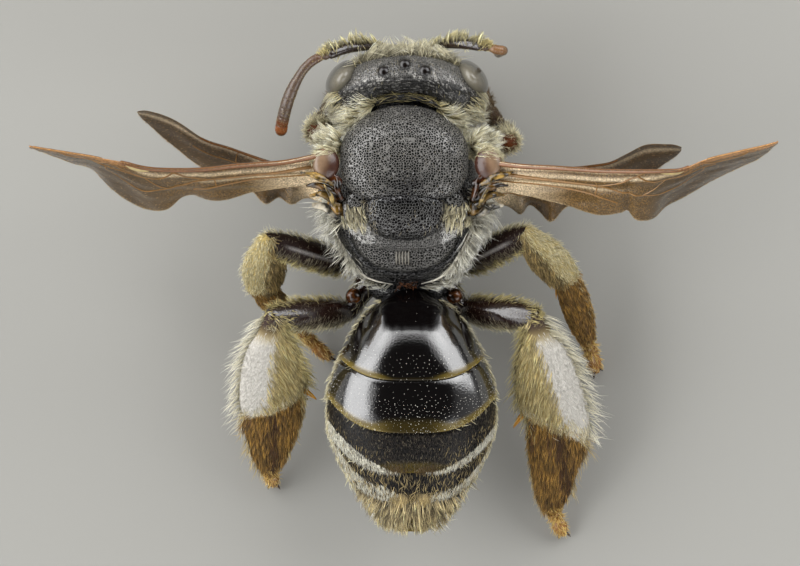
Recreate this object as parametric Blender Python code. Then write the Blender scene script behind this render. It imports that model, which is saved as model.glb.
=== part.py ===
"""A small stocky solitary bee, life size, standing on its six feet with its wings half spread.

Millimetres are turned into metres by MM. The bee faces -Y, +X is its own left and +Z is up.
Lengths along Y are counted from the wing roots. Every limb, the trunk and the antennae are
modelled whole, along one smooth line, and parted by thin cuts.
"""

import math

import bmesh
import bpy
import numpy as np
from mathutils import Matrix, Vector

MM = 0.001
CUT = 0.03  # width of a parting cut
FLOOR = 0.0
LEAST = 0.24  # half of the least thickness of a feeler, foot or wing

BLACK = (0.012, 0.011, 0.012)
BROWN = (0.055, 0.022, 0.012)
AMBER = (0.30, 0.15, 0.04)
STRAW = (0.48, 0.38, 0.16)
CREAM = (0.72, 0.70, 0.60)
EYE = (0.09, 0.085, 0.08)
WING = (0.42, 0.27, 0.13)

# ------------------------------------------------------------------ head
HEAD_Y = -1.42
HEAD_TOP, HEAD_FOOT = 2.86, 0.72
HEAD_WIDEST = 1.95
HEAD_HALF_WIDTH = 1.24
FACE_DEPTH = 0.66  # from the head's middle plane to the hair on the face
NAPE_DEPTH = 0.62
NAPE_HOLLOW = 0.52  # share of the nape's depth that is missing on the midline
EYE_CENTRE = Vector((1.06, -1.40, 1.98))
EYE_SIZE = Vector((0.29, 0.33, 0.74))
EYE_LEAN = math.radians(9)
JAW_WIDTHS = [(0.0, 0.20, 0.15), (0.5, 0.17, 0.13), (1.0, 0.08, 0.07)]
JAW = [Vector((0.46, -1.64, 1.00)), Vector((0.42, -1.78, 0.76)), Vector((0.11, -1.82, 0.66))]

# ----------------------------------------------------------------- trunk
# (Y, half width, top, bottom) out to the tips of the coat
THORAX = [
    (-0.95, 0.34, 2.46, 1.72),
    (-0.80, 0.70, 2.74, 1.46),
    (-0.50, 1.02, 3.00, 1.17),
    (0.00, 1.14, 3.15, 1.02),
    (0.55, 1.33, 3.10, 1.00),
    (1.00, 1.38, 2.97, 1.04),
    (1.45, 1.18, 2.66, 1.18),
    (1.80, 0.84, 2.26, 1.34),
    (1.98, 0.46, 2.02, 1.52),
]
THORAX_WIDEST = 1.85
SCUTUM_END, SCUTELLUM_END = 0.58, 1.20
COXA_SOCKETS = {
    "thorax_front": ("front_left", "front_right"),
    "thorax_scutellum": ("middle_left", "middle_right"),
    "thorax_propodeum": ("middle_left", "middle_right", "hind_left", "hind_right"),
}
NECK = [Vector((0, -1.06, 2.06)), Vector((0, -0.985, 2.08))]
NECK_RADIUS = 0.26
WAIST = [Vector((0, 2.01, 1.76)), Vector((-0.01, 2.10, 1.76))]
WAIST_RADIUS = 0.24

ABDOMEN_SHIFT = -0.075  # the abdomen lies a little to the bee's right
# (Y, half width, top, bottom)
ABDOMEN = [
    (2.13, 0.36, 2.02, 1.46),
    (2.31, 0.62, 2.36, 1.22),
    (2.68, 0.93, 2.62, 1.00),
    (3.26, 1.28, 2.74, 0.84),
    (4.00, 1.45, 2.74, 0.78),
    (4.68, 1.38, 2.56, 0.84),
    (5.22, 1.10, 2.31, 0.98),
    (5.66, 0.77, 2.06, 1.14),
    (5.97, 0.42, 1.82, 1.27),
    (6.10, 0.14, 1.66, 1.40),
]
ABDOMEN_WIDEST = 1.60
RING_ENDS = [3.57, 4.40, 5.07, 5.54, 5.86]  # hind edges of the first five rings, on the back
RING_BOW = 0.27  # how far a ring's hind edge runs forward for each square millimetre outwards

# ----------------------------------------------------------------- wings
SPAN_STEPS, CHORD_STEPS = 15, 5
WING_HALF_THICKNESS = LEAST
# (share of span, chord) of the wings laid flat
FOREWING_CHORD = [
    (0.0, 0.42), (0.2, 0.84), (0.38, 1.20), (0.45, 1.18), (0.53, 1.46),
    (0.68, 1.74), (0.82, 1.56), (0.93, 1.02), (1.0, 0.24),
]
HINDWING_CHORD = [
    (0.0, 0.44), (0.14, 0.80), (0.30, 0.96), (0.55, 0.92), (0.78, 0.72), (0.93, 0.46), (1.0, 0.20),
]
# each wing's root and tip on its leading edge, how far that edge bows backwards and upwards,
# and (share of span, pitch of the chord below the horizontal in degrees)
WINGS = {
    "forewing_left": dict(
        root=(1.68, -0.06, 2.84), tip=(6.17, -0.28, 4.85), bow=(0.30, 0.05), chord=FOREWING_CHORD,
        pitch=[(0.0, 50), (0.36, 62), (0.6, 64), (0.74, 75), (0.85, 82), (1.0, 84)],
    ),
    "forewing_right": dict(
        root=(-1.68, -0.02, 2.84), tip=(-6.05, -0.36, 4.75), bow=(0.34, 0.05), chord=FOREWING_CHORD,
        pitch=[(0.0, 36), (0.36, 51), (0.5, 56), (0.62, 70), (0.75, 76), (1.0, 80)],
    ),
    "hindwing_left": dict(
        root=(1.56, 0.10, 2.12), tip=(4.43, -0.82, 2.85), bow=(0.10, 0.0), chord=HINDWING_CHORD,
        pitch=[(0.0, 46), (0.5, 56), (1.0, 62)],
    ),
    "hindwing_right": dict(
        root=(-1.56, 0.22, 2.12), tip=(-4.48, -0.28, 2.80), bow=(0.08, 0.0), chord=HINDWING_CHORD,
        pitch=[(0.0, 38), (0.5, 52), (1.0, 58)],
    ),
}
TEGULA_CENTRE = Vector((1.385, 0.0, 2.86))
TEGULA_SIZE = Vector((0.22, 0.26, 0.14))

# -------------------------------------------------------------- antennae
SCAPE_WIDTHS = [(0.0, LEAST, LEAST), (1.0, LEAST, LEAST)]
SCAPES = {
    "left": [Vector((0.34, -1.98, 1.96)), Vector((0.80, -2.06, 2.36)), Vector((1.34, -1.93, 2.58))],
    "right": [Vector((-0.34, -1.98, 1.96)), Vector((-0.78, -2.10, 2.36)), Vector((-1.28, -2.00, 2.58))],
}
FLAGELLA = {
    "left": [
        Vector((1.40, -1.90, 2.60)), Vector((1.72, -1.64, 2.62)), Vector((1.94, -1.20, 2.52)),
        Vector((2.06, -0.76, 2.34)), Vector((2.06, -0.48, 2.22)),
    ],
    "right": [
        Vector((-1.34, -1.98, 2.60)), Vector((-1.58, -1.95, 2.56)), Vector((-1.70, -1.90, 2.20)),
        Vector((-1.68, -1.86, 1.70)), Vector((-1.60, -1.80, 1.20)),
    ],
}

# ------------------------------------------------------------------ legs
# the coxa's root, then the ends of trochanter, femur, tibia, basitarsus and foot
LEGS = {
    "front_left": [(0.42, -0.62, 1.15), (0.80, -0.42, 1.02), (1.52, -0.56, 1.88),
                   (1.38, -0.78, 0.98), (1.24, -1.06, 0.48), (1.14, -1.34, 0.17)],
    "front_right": [(-0.42, -0.62, 1.15), (-0.84, -0.36, 1.02), (-1.70, -0.38, 1.86),
                    (-1.54, -0.62, 0.98), (-1.36, -0.94, 0.48), (-1.24, -1.24, 0.17)],
    "middle_left": [(0.46, 0.85, 0.92), (0.98, 1.66, 1.02), (2.30, 1.26, 2.02),
                    (2.42, 2.02, 1.16), (1.90, 2.62, 0.52), (1.34, 3.16, 0.17)],
    "middle_right": [(-0.46, 0.85, 0.92), (-0.94, 1.66, 1.02), (-1.96, 1.14, 1.98),
                     (-2.66, 1.88, 1.22), (-2.99, 2.86, 0.66), (-3.15, 3.36, 0.17)],
    "hind_left": [(0.34, 1.50, 1.10), (0.96, 2.42, 1.06), (2.22, 2.50, 2.40),
                  (2.22, 4.00, 1.12), (2.29, 5.00, 0.48), (2.24, 5.26, 0.17)],
    "hind_right": [(-0.34, 1.50, 1.10), (-0.92, 2.38, 1.06), (-2.10, 2.50, 1.86),
                   (-2.50, 4.34, 1.04), (-2.40, 5.66, 0.42), (-2.58, 6.08, 0.17)],
}
JOINTS = ["coxa", "femur", "tibia", "basitarsus", "tarsus"]
# for each length of leg, (share of its length, half breadth, half thickness) with its hair
SLIM_LEG = {
    "coxa": [(0.0, 0.24, 0.24), (0.5, 0.26, 0.25), (1.0, 0.24, 0.24)],
    "femur": [(0.0, 0.24, 0.24), (0.4, 0.28, 0.26), (1.0, 0.24, 0.24)],
    "tibia": [(0.0, 0.24, 0.24), (0.6, 0.29, 0.26), (1.0, 0.25, 0.24)],
    "basitarsus": [(0.0, 0.25, 0.24), (0.5, 0.27, 0.24), (1.0, 0.24, 0.24)],
    "tarsus": [(0.0, 0.24, 0.24), (1.0, 0.24, 0.24)],
}
BRUSH_LEG = {
    "coxa": [(0.0, 0.24, 0.24), (0.5, 0.28, 0.26), (1.0, 0.24, 0.24)],
    "femur": [(0.0, 0.24, 0.24), (0.45, 0.34, 0.28), (1.0, 0.26, 0.24)],
    "tibia": [(0.0, 0.26, 0.24), (0.35, 0.46, 0.33), (0.8, 0.52, 0.34), (1.0, 0.47, 0.32)],
    "basitarsus": [(0.0, 0.46, 0.31), (0.3, 0.43, 0.28), (0.85, 0.26, 0.24), (1.0, 0.24, 0.24)],
    "tarsus": [(0.0, 0.24, 0.24), (1.0, 0.24, 0.24)],
}
LIMB_RINGS, RING_SIDES = 3, 8


# --------------------------------------------------------------- helpers
def along(points, share):
    """The smooth curve through a table's rows, read where its first column is `share`."""
    table = np.array(points, float)
    x, values = table[:, 0], table[:, 1:]
    slopes = np.gradient(values, x, axis=0)
    at = float(np.clip(share, x[0], x[-1]))
    i = min(int(np.searchsorted(x, at, side="right")) - 1, len(x) - 2)
    step = x[i + 1] - x[i]
    t = (at - x[i]) / step
    return (
        (1 + 2 * t) * (1 - t) ** 2 * values[i]
        + t * (1 - t) ** 2 * step * slopes[i]
        + t * t * (3 - 2 * t) * values[i + 1]
        + t * t * (t - 1) * step * slopes[i + 1]
    )


def finish(name, colour, roughness, metallic=0.0):
    material = bpy.data.materials.new(name)
    material.use_nodes = True
    shader = material.node_tree.nodes["Principled BSDF"]
    shader.inputs["Base Color"].default_value = (*colour, 1.0)
    shader.inputs["Roughness"].default_value = roughness
    shader.inputs["Metallic"].default_value = metallic
    return material


def object_from(name, bm, material, origin):
    """A named object whose own origin lies at `origin`, in millimetres."""
    bmesh.ops.recalc_face_normals(bm, faces=bm.faces)
    bmesh.ops.transform(bm, matrix=Matrix.Translation(-origin), verts=bm.verts)
    bmesh.ops.scale(bm, vec=(MM, MM, MM), verts=bm.verts)
    mesh = bpy.data.meshes.new(name)
    bm.to_mesh(mesh)
    bm.free()
    mesh.materials.append(material)
    mesh.shade_smooth()
    mesh.set_sharp_from_angle(angle=math.radians(40))
    made = bpy.data.objects.new(name, mesh)
    made.location = origin * MM
    bpy.context.scene.collection.objects.link(made)
    return made


def bridged(rings, hubs=(None, None)):
    """Rings of points joined side to side. A hub closes an end with a fan; without one the end is flat."""
    bm = bmesh.new()
    loops = [[bm.verts.new(point) for point in ring] for ring in rings]
    for near, far in zip(loops, loops[1:]):
        for i in range(len(near)):
            j = (i + 1) % len(near)
            bm.faces.new((near[i], near[j], far[j], far[i]))
    for loop, hub in ((loops[0], hubs[0]), (loops[-1], hubs[1])):
        if hub is None:
            bm.faces.new(loop)
            continue
        centre = bm.verts.new(hub)
        for i in range(len(loop)):
            bm.faces.new((loop[i], loop[(i + 1) % len(loop)], centre))
    return bm


def ellipsoid(size, around=20, levels=14):
    bm = bmesh.new()
    bmesh.ops.create_uvsphere(bm, u_segments=around, v_segments=levels, radius=1.0)
    bmesh.ops.scale(bm, vec=size, verts=bm.verts)
    return bm


def mirrored(point, side):
    return Vector((point[0] * side, point[1], point[2]))


def ring_round(centre, direction, broad, thin, flat_way):
    """An oval ring square to `direction`, whose breadth lies along flat_way."""
    across = (flat_way - direction * flat_way.dot(direction)).normalized()
    through = direction.cross(across)
    turns = [2 * math.pi * i / RING_SIDES for i in range(RING_SIDES)]
    return [centre + across * broad * math.cos(a) + through * thin * math.sin(a) for a in turns]


# ------------------------------------------------------------------ parts
def make_head(chitin):
    bm = bmesh.new()
    bmesh.ops.create_uvsphere(bm, u_segments=24, v_segments=14, radius=1.0)
    for vert in bm.verts:
        x, y, z = vert.co
        up = HEAD_TOP - HEAD_WIDEST if z > 0 else HEAD_WIDEST - HEAD_FOOT
        height = HEAD_WIDEST + up * math.copysign(abs(z) ** 1.12, z)
        narrowing = 1.0 if z > 0 else 1 - 0.20 * z * z  # the cheeks run in towards the jaws
        breadth = HEAD_HALF_WIDTH * x * narrowing * (1.0 + 0.10 * (1 - abs(x)))
        if y < 0:
            depth = FACE_DEPTH * y
        else:
            depth = NAPE_DEPTH * y * (1 - NAPE_HOLLOW * (1 - min(1.0, x * x * 1.3)))
        vert.co = (breadth, HEAD_Y + depth, height)
    head = object_from("head", bm, chitin, Vector((0, HEAD_Y, HEAD_WIDEST)))
    for label, side in (("left", 1), ("right", -1)):
        socket_in(head, eye_solid(f"eye_socket_{label}", side, CUT, chitin))
        socket_in(head, make_tube(f"scape_groove_{label}", SCAPES[label], SCAPE_WIDTHS, chitin, CUT, steps=6))
        jaw = [mirrored(p, side) for p in JAW]
        socket_in(head, make_tube(f"jaw_socket_{label}", jaw, JAW_WIDTHS, chitin, CUT, Vector((0, 1, 0))))


def socket_in(body, cutter):
    """Cuts the place of one part out of another."""
    cutter.hide_render = True
    cutter.display_type = "WIRE"
    cut = body.modifiers.new(cutter.name, "BOOLEAN")
    cut.operation = "DIFFERENCE"
    cut.solver = "EXACT"
    cut.object = cutter


def eye_solid(name, side, grown, material):
    bm = ellipsoid(EYE_SIZE + Vector((grown,) * 3), 18, 12)
    lean = Matrix.Rotation(EYE_LEAN * side, 4, "Y")
    centre = mirrored(EYE_CENTRE, side)
    bmesh.ops.transform(bm, matrix=Matrix.Translation(centre) @ lean, verts=bm.verts)
    return object_from(name, bm, material, centre)


def make_tube(name, points, radii, material, grown=0.0, flat_way=Vector((0, 0, 1)), steps=5):
    """A tapering tube along a smooth line through a few points; radii are read along it."""
    line = [(i / (len(points) - 1), *p) for i, p in enumerate(points)]
    rings = []
    shares = [i / (steps - 1) for i in range(steps)]
    for share in shares:
        here = Vector(along(line, share))
        ahead = Vector(along(line, min(1.0, share + 0.02)))
        behind = Vector(along(line, max(0.0, share - 0.02)))
        broad, thin = along(radii, share) + grown
        rings.append(ring_round(here, (ahead - behind).normalized(), broad, thin, flat_way))
    return object_from(name, bridged(rings), material, Vector(points[0]))


def make_jaws(material):
    for label, side in (("left", 1), ("right", -1)):
        points = [mirrored(p, side) for p in JAW]
        make_tube(f"mandible_{label}", points, JAW_WIDTHS, material, flat_way=Vector((0, 1, 0)))


def make_antennae(dark, tawny):
    for label in ("left", "right"):
        make_tube(f"scape_{label}", SCAPES[label], SCAPE_WIDTHS, dark, steps=6)
        line = FLAGELLA[label]
        bend_axis = (line[1] - line[0]).cross(line[-1] - line[-2])
        make_tube(f"flagellum_{label}", line, SCAPE_WIDTHS, tawny, flat_way=bend_axis, steps=10)


def trunk_ring(row, widest, shift=0.0, bow=0.0, sides=24, square=2.2):
    """One cross-section of the trunk at the row's Y. `bow` carries its sides forward."""
    y, half_width, top, bottom = row
    ring = []
    for i in range(sides):
        turn = 2 * math.pi * i / sides
        c, s = math.cos(turn), math.sin(turn)
        x = half_width * math.copysign(abs(c) ** (2 / square), c)
        height = (top if s > 0 else bottom) - widest
        z = widest + abs(height) * math.copysign(abs(s) ** (2 / square), s)
        ring.append(Vector((x + shift, y - bow * x * x, z)))
    return ring


def make_trunk(name, table, start, end, widest, material, rings, shift=0.0, bows=(0.0, 0.0)):
    """One length of the trunk between two Y levels; each end is bowed as its parting cut is."""
    made = []
    for i in range(rings):
        share = i / (rings - 1)
        y = start + (end - start) * share
        bow = bows[0] + (bows[1] - bows[0]) * share
        row = (y, *along(table, y))
        made.append(trunk_ring(row, widest, shift, bow))
    hubs = [Vector((shift, y, widest)) for y in (start, end)]
    return object_from(name, bridged(made, hubs), material, hubs[0])


def make_thorax(chitin):
    first, last = THORAX[0][0], THORAX[-1][0]
    gap = CUT / 2
    spans = {
        "thorax_front": (first, SCUTUM_END - gap, 10),
        "thorax_scutellum": (SCUTUM_END + gap, SCUTELLUM_END - gap, 5),
        "thorax_propodeum": (SCUTELLUM_END + gap, last, 7),
    }
    for name, (start, end, rings) in spans.items():
        trunk = make_trunk(name, THORAX, start, end, THORAX_WIDEST, chitin, rings)
        for label in COXA_SOCKETS[name]:
            root, knee = (Vector(p) for p in LEGS[label][:2])
            widths = (BRUSH_LEG if label.startswith("hind") else SLIM_LEG)["coxa"]
            solid = domed_tube(root, knee, widths, flat_way_of(LEGS[label]), CUT)
            socket_in(trunk, object_from(f"{name}_socket_{label}", solid, chitin, root))


def make_links(chitin):
    """The neck and the waist, short round links between head, thorax and abdomen."""
    for name, ends, radius in (("neck", NECK, NECK_RADIUS), ("waist", WAIST, WAIST_RADIUS)):
        plain = [(0.0, radius, radius), (1.0, radius, radius)]
        make_tube(name, ends, plain, chitin, steps=2)


def make_abdomen(chitin):
    first, last = ABDOMEN[0][0], ABDOMEN[-1][0]
    edges = [first - CUT / 2, *RING_ENDS, last + CUT / 2]
    for i, (start, end) in enumerate(zip(edges, edges[1:])):
        bows = (0.0 if i == 0 else RING_BOW, RING_BOW)
        make_trunk(
            f"abdomen_{i + 1}", ABDOMEN, start + CUT / 2, end - CUT / 2, ABDOMEN_WIDEST,
            chitin, 6 if i < 2 else 4, ABDOMEN_SHIFT, bows,
        )


def make_wing(name, root, tip, bow, chord, pitch, material):
    """A wing as a thick plate, swept from its root to its tip along the leading edge."""
    root, tip = Vector(root), Vector(tip)
    sections = []
    for i in range(SPAN_STEPS + 1):
        share = i / SPAN_STEPS
        arch = math.sin(math.pi * share)
        edge = root.lerp(tip, share) + Vector((0, bow[0] * arch, bow[1] * arch))
        down = math.radians(float(along(pitch, share)[0]))
        way = Vector((0, math.cos(down), -math.sin(down)))
        out = Vector((0, math.sin(down), math.cos(down)))
        width = float(along(chord, share)[0])
        upper = [edge + way * width * j / CHORD_STEPS for j in range(CHORD_STEPS + 1)]
        thick = out * WING_HALF_THICKNESS
        sections.append([p + thick for p in upper] + [p - thick for p in reversed(upper)])
    return object_from(name, bridged(sections), material, root)


def make_tegulae(material):
    for label, side in (("left", 1), ("right", -1)):
        bm = ellipsoid(TEGULA_SIZE, 14, 8)
        centre = mirrored(TEGULA_CENTRE, side)
        bmesh.ops.transform(bm, matrix=Matrix.Translation(centre), verts=bm.verts)
        object_from(f"tegula_{label}", bm, material, centre)


def flat_way_of(points):
    """The broad way of a leg: level, and square to the shin as seen from above."""
    shin = Vector(points[3]) - Vector(points[2])
    return Vector((0, 0, 1)).cross(shin).normalized()


def domed_tube(a, b, widths, flat_way, grown=0.0):
    """A straight length of limb from a to b with a round dome beyond each end."""
    direction = (b - a).normalized()
    rings = []
    for end, sign, order in ((a, -1, (2, 1)), (b, 1, (1, 2))):
        share = 0.0 if sign < 0 else 1.0
        broad, thin = along(widths, share) + grown
        reach = math.sqrt(broad * thin)
        dome = []
        for step in order:
            turn = math.radians(90 * step / 3)
            centre = end + direction * sign * reach * math.sin(turn)
            narrowed = math.cos(turn)
            dome.append(ring_round(centre, direction, broad * narrowed, thin * narrowed, flat_way))
        if sign < 0:
            rings += dome
            for i in range(LIMB_RINGS + 1):
                share = i / LIMB_RINGS
                broad, thin = along(widths, share) + grown
                rings.append(ring_round(a.lerp(b, share), direction, broad, thin, flat_way))
            first = a - direction * reach
        else:
            rings += dome
            last = b + direction * reach
    return bridged(rings, (first, last))


def cut_off(bm, point, outward):
    """Cuts away what lies beyond a plane and closes the cut."""
    every = bm.verts[:] + bm.edges[:] + bm.faces[:]
    bmesh.ops.bisect_plane(bm, geom=every, plane_co=point, plane_no=outward, clear_outer=True, dist=1e-6)
    rim = [edge for edge in bm.edges if edge.is_boundary]
    bmesh.ops.contextual_create(bm, geom=rim)


def make_leg(label, points, widths, materials):
    """A leg in five lengths that meet on the planes that halve its bends."""
    points = [Vector(p) for p in points]
    flat_way = flat_way_of(points)
    ways = [(b - a).normalized() for a, b in zip(points, points[1:])]
    for length, joint in enumerate(JOINTS):
        a, b = points[length], points[length + 1]
        bm = domed_tube(a, b, widths[joint], flat_way)
        if length > 0:
            across = (ways[length - 1] + ways[length]).normalized()
            cut_off(bm, a + across * CUT / 2, -across)
        if joint == "tarsus":
            cut_off(bm, Vector((0, 0, FLOOR)), Vector((0, 0, -1)))
        else:
            across = (ways[length] + ways[length + 1]).normalized()
            cut_off(bm, b - across * CUT / 2, across)
        object_from(f"{joint}_{label}", bm, materials[joint], a)


def seat(objects):
    """Carries the whole bee so that its box is centred over the origin and its soles are level with it."""
    bpy.context.view_layer.update()
    corners = [o.matrix_world @ v.co for o in objects for v in o.data.vertices]
    low = Vector(min(c[i] for c in corners) for i in range(3))
    high = Vector(max(c[i] for c in corners) for i in range(3))
    holder = bpy.data.objects.new("bee", None)
    bpy.context.scene.collection.objects.link(holder)
    for o in objects:
        o.parent = holder
    holder.location = (-(low.x + high.x) / 2, -(low.y + high.y) / 2, -low.z)


def main():
    for leftover in list(bpy.data.objects):
        bpy.data.objects.remove(leftover)

    chitin = finish("black_chitin", BLACK, 0.35)
    horn = finish("brown_chitin", BROWN, 0.40)
    tawny = finish("tawny_chitin", AMBER, 0.45)
    cornea = finish("cornea", EYE, 0.25)
    membrane = finish("wing_membrane", WING, 0.30)
    straw = finish("straw_hair", STRAW, 0.80)
    cream = finish("cream_hair", CREAM, 0.80)

    make_head(chitin)
    for label, side in (("left", 1), ("right", -1)):
        eye_solid(f"eye_{label}", side, 0.0, cornea)
    make_jaws(horn)
    make_antennae(horn, tawny)
    make_links(chitin)
    make_thorax(chitin)
    make_abdomen(chitin)
    make_tegulae(horn)
    for name, shape in WINGS.items():
        make_wing(name, material=membrane, **shape)
    slim = dict(coxa=chitin, femur=horn, tibia=straw, basitarsus=straw, tarsus=tawny)
    brush = dict(coxa=chitin, femur=horn, tibia=cream, basitarsus=horn, tarsus=tawny)
    for label, points in LEGS.items():
        hind = label.startswith("hind")
        make_leg(label, points, BRUSH_LEG if hind else SLIM_LEG, brush if hind else slim)

    seat([o for o in bpy.context.scene.objects if o.type == "MESH"])


main()
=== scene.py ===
"""A small stocky black bee with pale hair, standing on its feet with its wings half spread.

Shapes are worked out in millimetres from the point midway between the wing roots, on the floor:
+X is the bee's left, -Y the way it faces, +Z up. HOME carries them into the frame.
"""

import math

import bpy
import numpy as np
from bpy.props import FloatProperty, FloatVectorProperty, PointerProperty
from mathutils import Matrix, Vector, kdtree


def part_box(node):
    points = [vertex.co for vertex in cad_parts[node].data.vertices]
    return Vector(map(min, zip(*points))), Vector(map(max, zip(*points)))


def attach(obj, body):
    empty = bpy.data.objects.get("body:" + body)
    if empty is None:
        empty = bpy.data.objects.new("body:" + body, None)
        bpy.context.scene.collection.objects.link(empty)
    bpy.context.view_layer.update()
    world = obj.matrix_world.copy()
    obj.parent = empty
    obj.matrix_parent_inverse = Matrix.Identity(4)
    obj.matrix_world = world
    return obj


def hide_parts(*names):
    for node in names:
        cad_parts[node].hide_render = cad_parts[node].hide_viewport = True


bl_info = {
    "name": "Small hairy bee",
    "version": (1, 0, 0),
    "blender": (4, 5, 0),
    "location": "View3D > Sidebar > Bee",
    "description": "Builds a small solitary bee with its coat, wings and a plain stage",
    "category": "Object",
}

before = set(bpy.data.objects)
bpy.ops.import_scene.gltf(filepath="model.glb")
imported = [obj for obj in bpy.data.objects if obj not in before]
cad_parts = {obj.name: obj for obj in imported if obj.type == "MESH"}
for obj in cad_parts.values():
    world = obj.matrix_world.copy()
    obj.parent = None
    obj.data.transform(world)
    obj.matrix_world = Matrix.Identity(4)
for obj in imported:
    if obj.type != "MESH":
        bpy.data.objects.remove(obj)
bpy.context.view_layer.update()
MM = 0.001
THORAX_FRONT = -0.95  # the front of the thorax, from the wing roots
HEAD_LOW, HEAD_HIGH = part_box("head")
HOME = Vector(((HEAD_LOW.x + HEAD_HIGH.x) / 2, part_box("thorax_front")[0].y - THORAX_FRONT * MM, 0))
SIDES = (("left", 1), ("right", -1))
BACKWARD, UP = np.array((0.0, 1.0, 0.0)), np.array((0.0, 0.0, 1.0))


# ---------------------------------------------------------------- colours
def linear(code):
    """An sRGB hex code as linear red, green and blue."""
    parts = [int(code[i : i + 2], 16) / 255 for i in (1, 3, 5)]
    return np.array([c / 12.92 if c <= 0.04045 else ((c + 0.055) / 1.055) ** 2.4 for c in parts])


def colour_property(name, code, text):
    return FloatVectorProperty(
        name=name, description=text, default=tuple(linear(code)), subtype="COLOR", size=3, min=0, max=1
    )


def colour(name):
    """One of the colours that a user may change."""
    return np.array(getattr(bpy.context.scene.bee_colours, name))


def blend(start, end, share):
    """What lies between two colours, at a share of the way."""
    return start + (end - start) * share


def length_property(name, value, text):
    return FloatProperty(name=name, description=text, default=value * MM, unit="LENGTH", min=0, precision=6)


def share_property(name, text):
    return FloatProperty(name=name, description=text, default=1.0, min=0.05)


# ------------------------------------------------------------ shape tables
def through(table, at):
    """The smooth curve through a table's rows, read where its first column is `at`."""
    table = np.asarray(table, float)
    x, values = table[:, 0], table[:, 1:]
    slopes = np.gradient(values, x, axis=0)
    at = np.clip(np.asarray(at, float), x[0], x[-1])
    i = np.clip(np.searchsorted(x, at, side="right") - 1, 0, len(x) - 2)
    step = (x[i + 1] - x[i])[..., None]
    t = (at - x[i])[..., None] / step
    return (
        (1 + 2 * t) * (1 - t) ** 2 * values[i]
        + t * (1 - t) ** 2 * step * slopes[i]
        + t * t * (3 - 2 * t) * values[i + 1]
        + t * t * (t - 1) * step * slopes[i + 1]
    )


def smooth(low, high, value):
    """0 below low, 1 above high and a soft step between them."""
    t = np.clip((np.asarray(value, float) - low) / (high - low), 0, 1)
    return t * t * (3 - 2 * t)


def bump(value, centre, width):
    """1 at the centre, falling off softly on both sides."""
    return np.exp(-(((value - centre) / width) ** 2))


def signed_power(value, power):
    """A power that keeps the sign; below 1 it makes a round section boxy."""
    return np.sign(value) * np.abs(value) ** power


def unit(vectors):
    return vectors / np.maximum(np.linalg.norm(vectors, axis=-1, keepdims=True), 1e-12)


def sideways(point, side):
    """A point given for the left side, or its mirror on the right."""
    return np.array((point[0] * side, point[1], point[2]), float)


def side_of(label):
    """1 for a piece of the bee's left and -1 for one of its right."""
    return 1 if label.endswith("left") else -1


# ----------------------------------------------------------------- skins
class Skin:
    """A closed surface as rings of points, with a normal at each."""

    def __init__(self, rings):
        self.points = np.asarray(rings, float)
        along = np.gradient(self.points, axis=0)
        around = np.roll(self.points, -1, 1) - np.roll(self.points, 1, 1)
        normals = unit(np.cross(along, around))
        outward = self.points - self.points.mean((0, 1))
        self.flipped = np.sum(normals * outward) < 0
        self.normals = -normals if self.flipped else normals

    def roots(self, count, where, rng):
        """Random places on the skin, as (points, normals, places on the unwrapped skin)."""
        p = np.concatenate([self.points, self.points[:, :1]], 1)
        n = np.concatenate([self.normals, self.normals[:, :1]], 1)
        a, b, c = p[:-1, :-1], p[1:, :-1], p[:-1, 1:]
        area = np.linalg.norm(np.cross(b - a, c - a), axis=-1)
        middle = (p[:-1, :-1] + p[1:, 1:]) / 2
        weight = (area * np.clip(np.asarray(where(middle, n[:-1, :-1]), float), 0, None)).ravel()
        if weight.sum() <= 0:
            raise RuntimeError("No hair can root here: the weight is zero all over the skin")
        rows, columns = area.shape
        picked = rng.choice(rows * columns, count, p=weight / weight.sum())
        i, j = picked // columns, picked % columns
        u, v = rng.random((2, count))

        def read(grid):
            return (
                grid[i, j] * ((1 - u) * (1 - v))[:, None]
                + grid[i + 1, j] * (u * (1 - v))[:, None]
                + grid[i, j + 1] * ((1 - u) * v)[:, None]
                + grid[i + 1, j + 1] * (u * v)[:, None]
            )

        places = np.stack([(i + u) / rows, (j + v) / columns], 1)
        return read(p), unit(read(n)), places


def paint(mesh, shade):
    """Gives a mesh's points their shades, or all of them one; a fourth value scales the gloss."""
    layer = mesh.color_attributes.new("shade", "FLOAT_COLOR", "POINT")
    shade = np.asarray(shade)
    rgba = np.ones((len(mesh.vertices), 4), np.float32)
    rgba[:, : shade.shape[-1]] = shade
    layer.data.foreach_set("color", rgba.ravel())


def mesh_object(name, points, triangles, finish, shade, corner_uv=None):
    """A smooth mesh object from arrays; points are in millimetres from the wing roots."""
    mesh = bpy.data.meshes.new(name)
    count = len(triangles)
    mesh.vertices.add(len(points))
    mesh.loops.add(count * 3)
    mesh.polygons.add(count)
    mesh.vertices.foreach_set("co", (points * MM + np.array(HOME)).astype(np.float32).ravel())
    mesh.loops.foreach_set("vertex_index", triangles.astype(np.int32).ravel())
    mesh.polygons.foreach_set("loop_start", np.arange(0, count * 3, 3, dtype=np.int32))
    mesh.update(calc_edges=True)
    mesh.validate()
    paint(mesh, shade)
    if corner_uv is not None:
        layer = mesh.uv_layers.new(name="OFBake")
        layer.data.foreach_set("uv", corner_uv.astype(np.float32).ravel())
    mesh.materials.append(material_named(finish))
    mesh.shade_smooth()
    made = bpy.data.objects.new(name, mesh)
    bpy.context.scene.collection.objects.link(made)
    return made


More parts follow.
